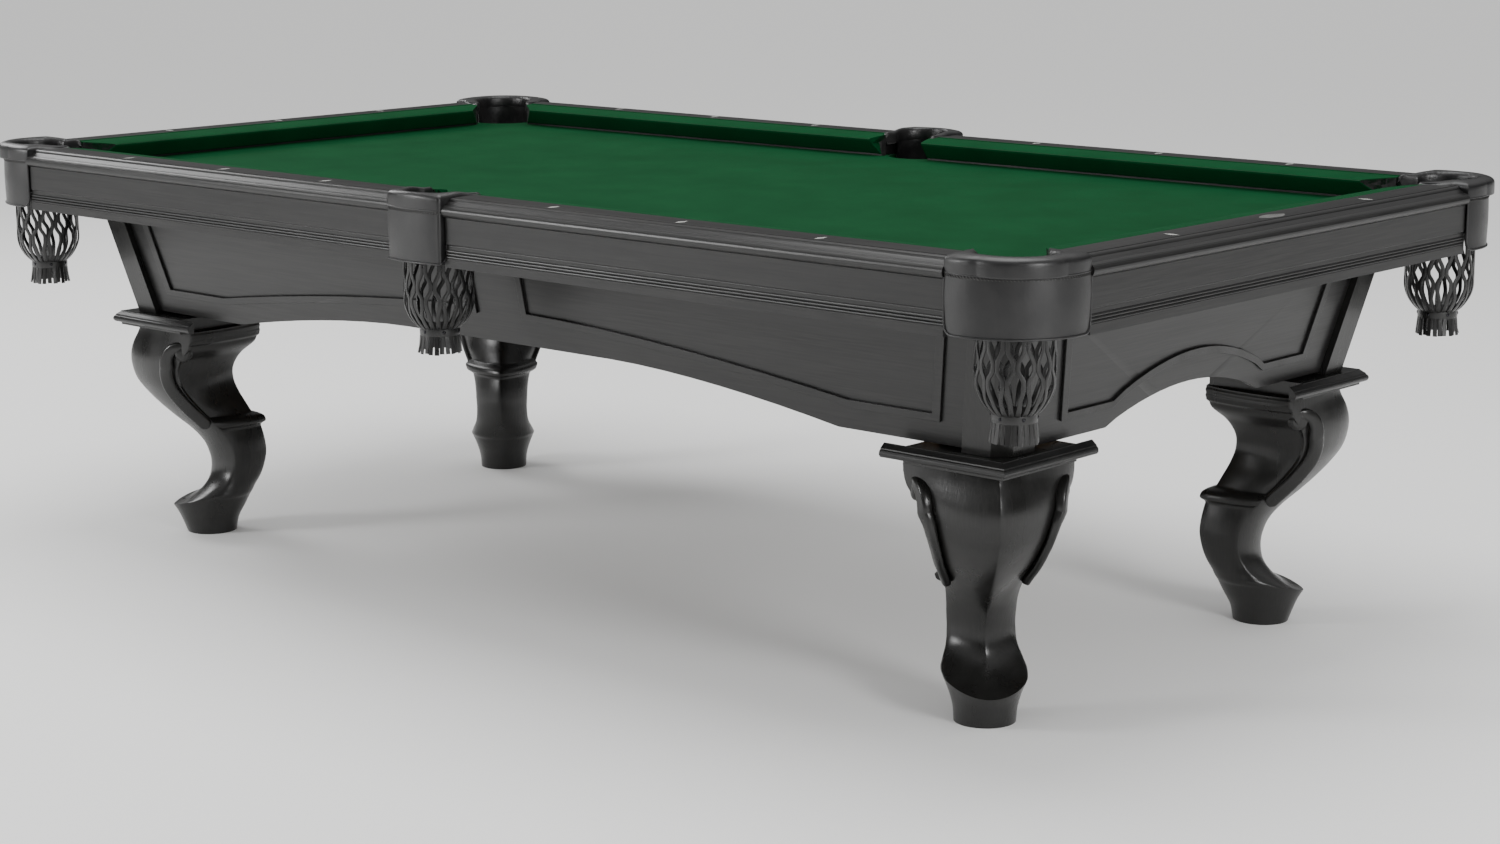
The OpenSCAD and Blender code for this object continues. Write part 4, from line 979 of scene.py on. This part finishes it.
# %% The leg's surface
# Rows of height, outer edge, inner edge and half width, from the foot's middle, in millimetres
FOOT = np.array(next(m for m in frame["record"]["mounts"] if m["name"] == "foot_back_right")["pos_m"][:2])
LEG_TOP, CREASE, BLOCK, HALF_TENON = 420 * MM, 53 * MM, 185 * MM, 53 * MM
PAD = np.array([[0, 48, -48, 48.5], [20, 56, -54, 51], [38, 64, -67, 58], [53, 73, -77, 66]]) * MM
SHAFT = np.array([[53, 73, -77, 66], [60, 53, -81, 67.5], [74, 30, -87, 64], [96, 8, -98, 57],
                  [128, -3, -108, 54], [160, 1, -112, 55], [180, 10, -110, 56], [206, 33, -104, 60],
                  [230, 62, -96, 68], [255, 90, -82, 79], [280, 114, -68, 87], [305, 133, -59, 95],
                  [330, 142, -60, 102], [356, 144, -76, 113], [380, 138, -104, 127],
                  [400, 128, -107, 131], [420, 122, -107, 131]]) * MM


def spline(at, rows, column):
    """Cubic through the rows: each span is a Hermite curve whose slopes are central differences."""
    x, y = rows[:, 0], rows[:, column]
    slope = np.gradient(y, x)
    k = np.clip(np.searchsorted(x, at, side="right") - 1, 0, len(x) - 2)
    h = x[k + 1] - x[k]
    t = np.clip((at - x[k]) / h, 0.0, 1.0)
    return ((2 * t**3 - 3 * t**2 + 1) * y[k] + (t**3 - 2 * t**2 + t) * h * slope[k]
            + (3 * t**2 - 2 * t**3) * y[k + 1] + (t**3 - t**2) * h * slope[k + 1])


def leg_shape(z):
    """Middle, half depth, half width and the exponent that squares the section, at height z."""
    out, inn, half = (np.where(z <= CREASE, spline(z, PAD, c), spline(z, SHAFT, c)) for c in (1, 2, 3))
    exponent = 1.0 + 0.55 * smooth((z - 55 * MM) / (70 * MM)) + 0.12 * smooth((z - 330 * MM) / (60 * MM))
    return (out + inn) / 2, (out - inn) / 2, half, exponent


def leg_rings(around=120):
    """Rings (cos^e, sin^e). Rows near the crease are lifted by 18 mm sin^2 towards the sides; the inner
    faces are cut back by 6 mm between the ankle bead and the block."""
    z = np.concatenate([np.linspace(0.0, CREASE, 22), np.linspace(CREASE, LEG_TOP - 4 * MM, 170)[1:]])
    turn = np.linspace(0.0, 2 * math.pi, around, endpoint=False)
    middle, depth, half, exponent = leg_shape(z)
    c, s = power(np.cos(turn)[None, :], exponent[:, None]), power(np.sin(turn)[None, :], exponent[:, None])
    inside = smooth((-np.cos(turn) - 0.02) / 0.1)[None, :]
    bead = 12.0 * MM * np.exp(-(((z - 224 * MM) / (10 * MM)) ** 4))
    hollow = -6.0 * MM * smooth((z - 233 * MM) / (5 * MM)) * smooth((392 * MM - z) / (5 * MM))
    ribs = 1.6 * MM * sum(np.exp(-(((z - rib * MM) / (3 * MM)) ** 2)) for rib in (399, 409))
    grow = 1.0 + (bead + hollow + ribs)[:, None] * inside / half[:, None]
    rise = np.where(np.cos(turn) > 0, np.sin(turn) ** 2, 1.0)[None, :]
    lift = 18 * MM * rise * np.interp(z, [0.0, CREASE, 0.17], [0.0, 1.0, 0.0])[:, None]
    outward = middle[:, None] + depth[:, None] * c * grow
    return joined(outward, half[:, None] * s * grow, z[:, None] + lift)


# %% Straps and scrolls on the legs
STRAP_LOW, STRAP_HIGH, KNOB_S, KNOB_Z, KNOB_R = 219 * MM, 345 * MM, 26 * MM, 374 * MM, 17 * MM


def leg_strap(side, around=20):
    """A flat carved strap up one side edge, then a scroll: the path turns about the knob while its
    radius falls as 6 + (r0 - 6)(1 - t)^4 mm."""
    z = np.linspace(STRAP_LOW, STRAP_HIGH, 60)
    middle, depth, half, _ = leg_shape(z)
    s = middle + 5 * MM + 0.16 * depth
    edge = joined(s, half * 0.95 + 1 * MM, z)
    ds, dz = edge[-1, 0] - KNOB_S, edge[-1, 2] - KNOB_Z
    t = np.linspace(0.0, 1.0, 60)
    turn = math.atan2(dz, ds) + math.radians(290.0) * t
    radius = 6 * MM + (math.hypot(ds, dz) - 6 * MM) * (1 - t) ** 4
    curl = joined(KNOB_S + radius * np.cos(turn), edge[-1, 1] + 8 * MM * smooth(t * 3),
                  KNOB_Z + radius * np.sin(turn))
    path = np.concatenate([edge[:-1], curl])
    tangent = unit(np.gradient(path, axis=0))
    across = unit(np.cross(tangent, unit(np.array([0.35, 1.0, 0.0]))))
    normal = np.cross(across, tangent)
    t = travelled(path) / travelled(path)[-1]
    wide = (13.5 * MM * smooth(t / 0.05 + 0.4) * (1 - 0.35 * smooth((t - 0.66) / 0.34)))[:, None, None]
    thick = (7.0 * MM + 2 * MM * smooth((t - 0.5) / 0.2))[:, None, None]
    loop = np.linspace(0.0, 2 * math.pi, around, endpoint=False)
    rings = (path[:, None, :] + across[:, None, :] * wide * power(np.cos(loop), 0.5)[None, :, None]
             + normal[:, None, :] * thick * power(np.sin(loop), 0.6)[None, :, None])
    rings[..., 1] *= side
    return rings


def leg_knob(side):
    """The scroll's eye: a low dome, radius r cos v at height h sin v, facing sideways."""
    v = np.concatenate([[-1.0], np.linspace(0.0, math.pi / 2 * 0.97, 8)])
    turn = np.linspace(0.0, 2 * math.pi, 32, endpoint=False)
    r = KNOB_R * np.where(v < 0, 1.0, np.cos(np.maximum(v, 0) * 0.98) ** 0.5)
    edge = spline(np.array([STRAP_HIGH]), SHAFT, 3)[0]
    w = edge + np.where(v < 0, -12 * MM, 6 * MM + 7 * MM * np.sin(np.maximum(v, 0)))
    return joined(KNOB_S + r[:, None] * np.cos(turn), side * w[:, None], KNOB_Z + r[:, None] * np.sin(turn))


def block(low, high):
    """A plain square block as two rings of four corners."""
    x0, y0, z0 = low
    x1, y1, z1 = high
    square = np.array([[x0, y0], [x1, y0], [x1, y1], [x0, y1]])
    return np.stack([np.concatenate([square, np.full((4, 1), z)], -1) for z in (z0, z1)])


for name, (sx, sy) in CORNERS.items():
    put = diagonal_place(sx, sy, FOOT)
    low, high = box(f"leg_{name}")
    cap_top = box(f"cap_{name}")[1][2]
    outer = np.where(np.array([sx, sy]) > 0, high[:2], low[:2])
    inner = outer - np.array([sx, sy]) * BLOCK
    square = block([*np.minimum(outer, inner), LEG_TOP - 6 * MM], [*np.maximum(outer, inner), cap_top])
    foot = np.array([sx, sy]) * FOOT
    tenon = block([*(foot - HALF_TENON), cap_top - MM], [*(foot + HALF_TENON), high[2]])
    carved = [leg_rings()] + [form(side) for side in (-1, 1) for form in (leg_strap, leg_knob)]
    parts = [loft(put(rings)) for rings in carved] + [loft(square), loft(tenon)]
    piece(f"carved_leg_{name}", parts, wood_z, [f"leg_{name}"], 40)
print("legs built:", len(CORNERS))

# %% [markdown]
# ## Floor
# A plain pale floor, far wider than the picture, which is staging and not part of the table.

# %% Floor
floor_mesh = bpy.data.meshes.new("floor")
REACH = 90.0
corners = [(REACH * i, REACH * j, 0.0) for i, j in ((-1, -1), (1, -1), (1, 1), (-1, 1))]
floor_mesh.from_pydata(corners, [], [(0, 1, 2, 3)])
floor_paint = finish("pale floor", Roughness=0.7)[0]
floor_paint.node_tree.nodes["Principled BSDF"].inputs["Base Color"].default_value = colour("#f4f4f3")
floor_mesh.materials.append(floor_paint)
floor = bpy.data.objects.new("floor", floor_mesh)
bpy.context.scene.collection.objects.link(floor)
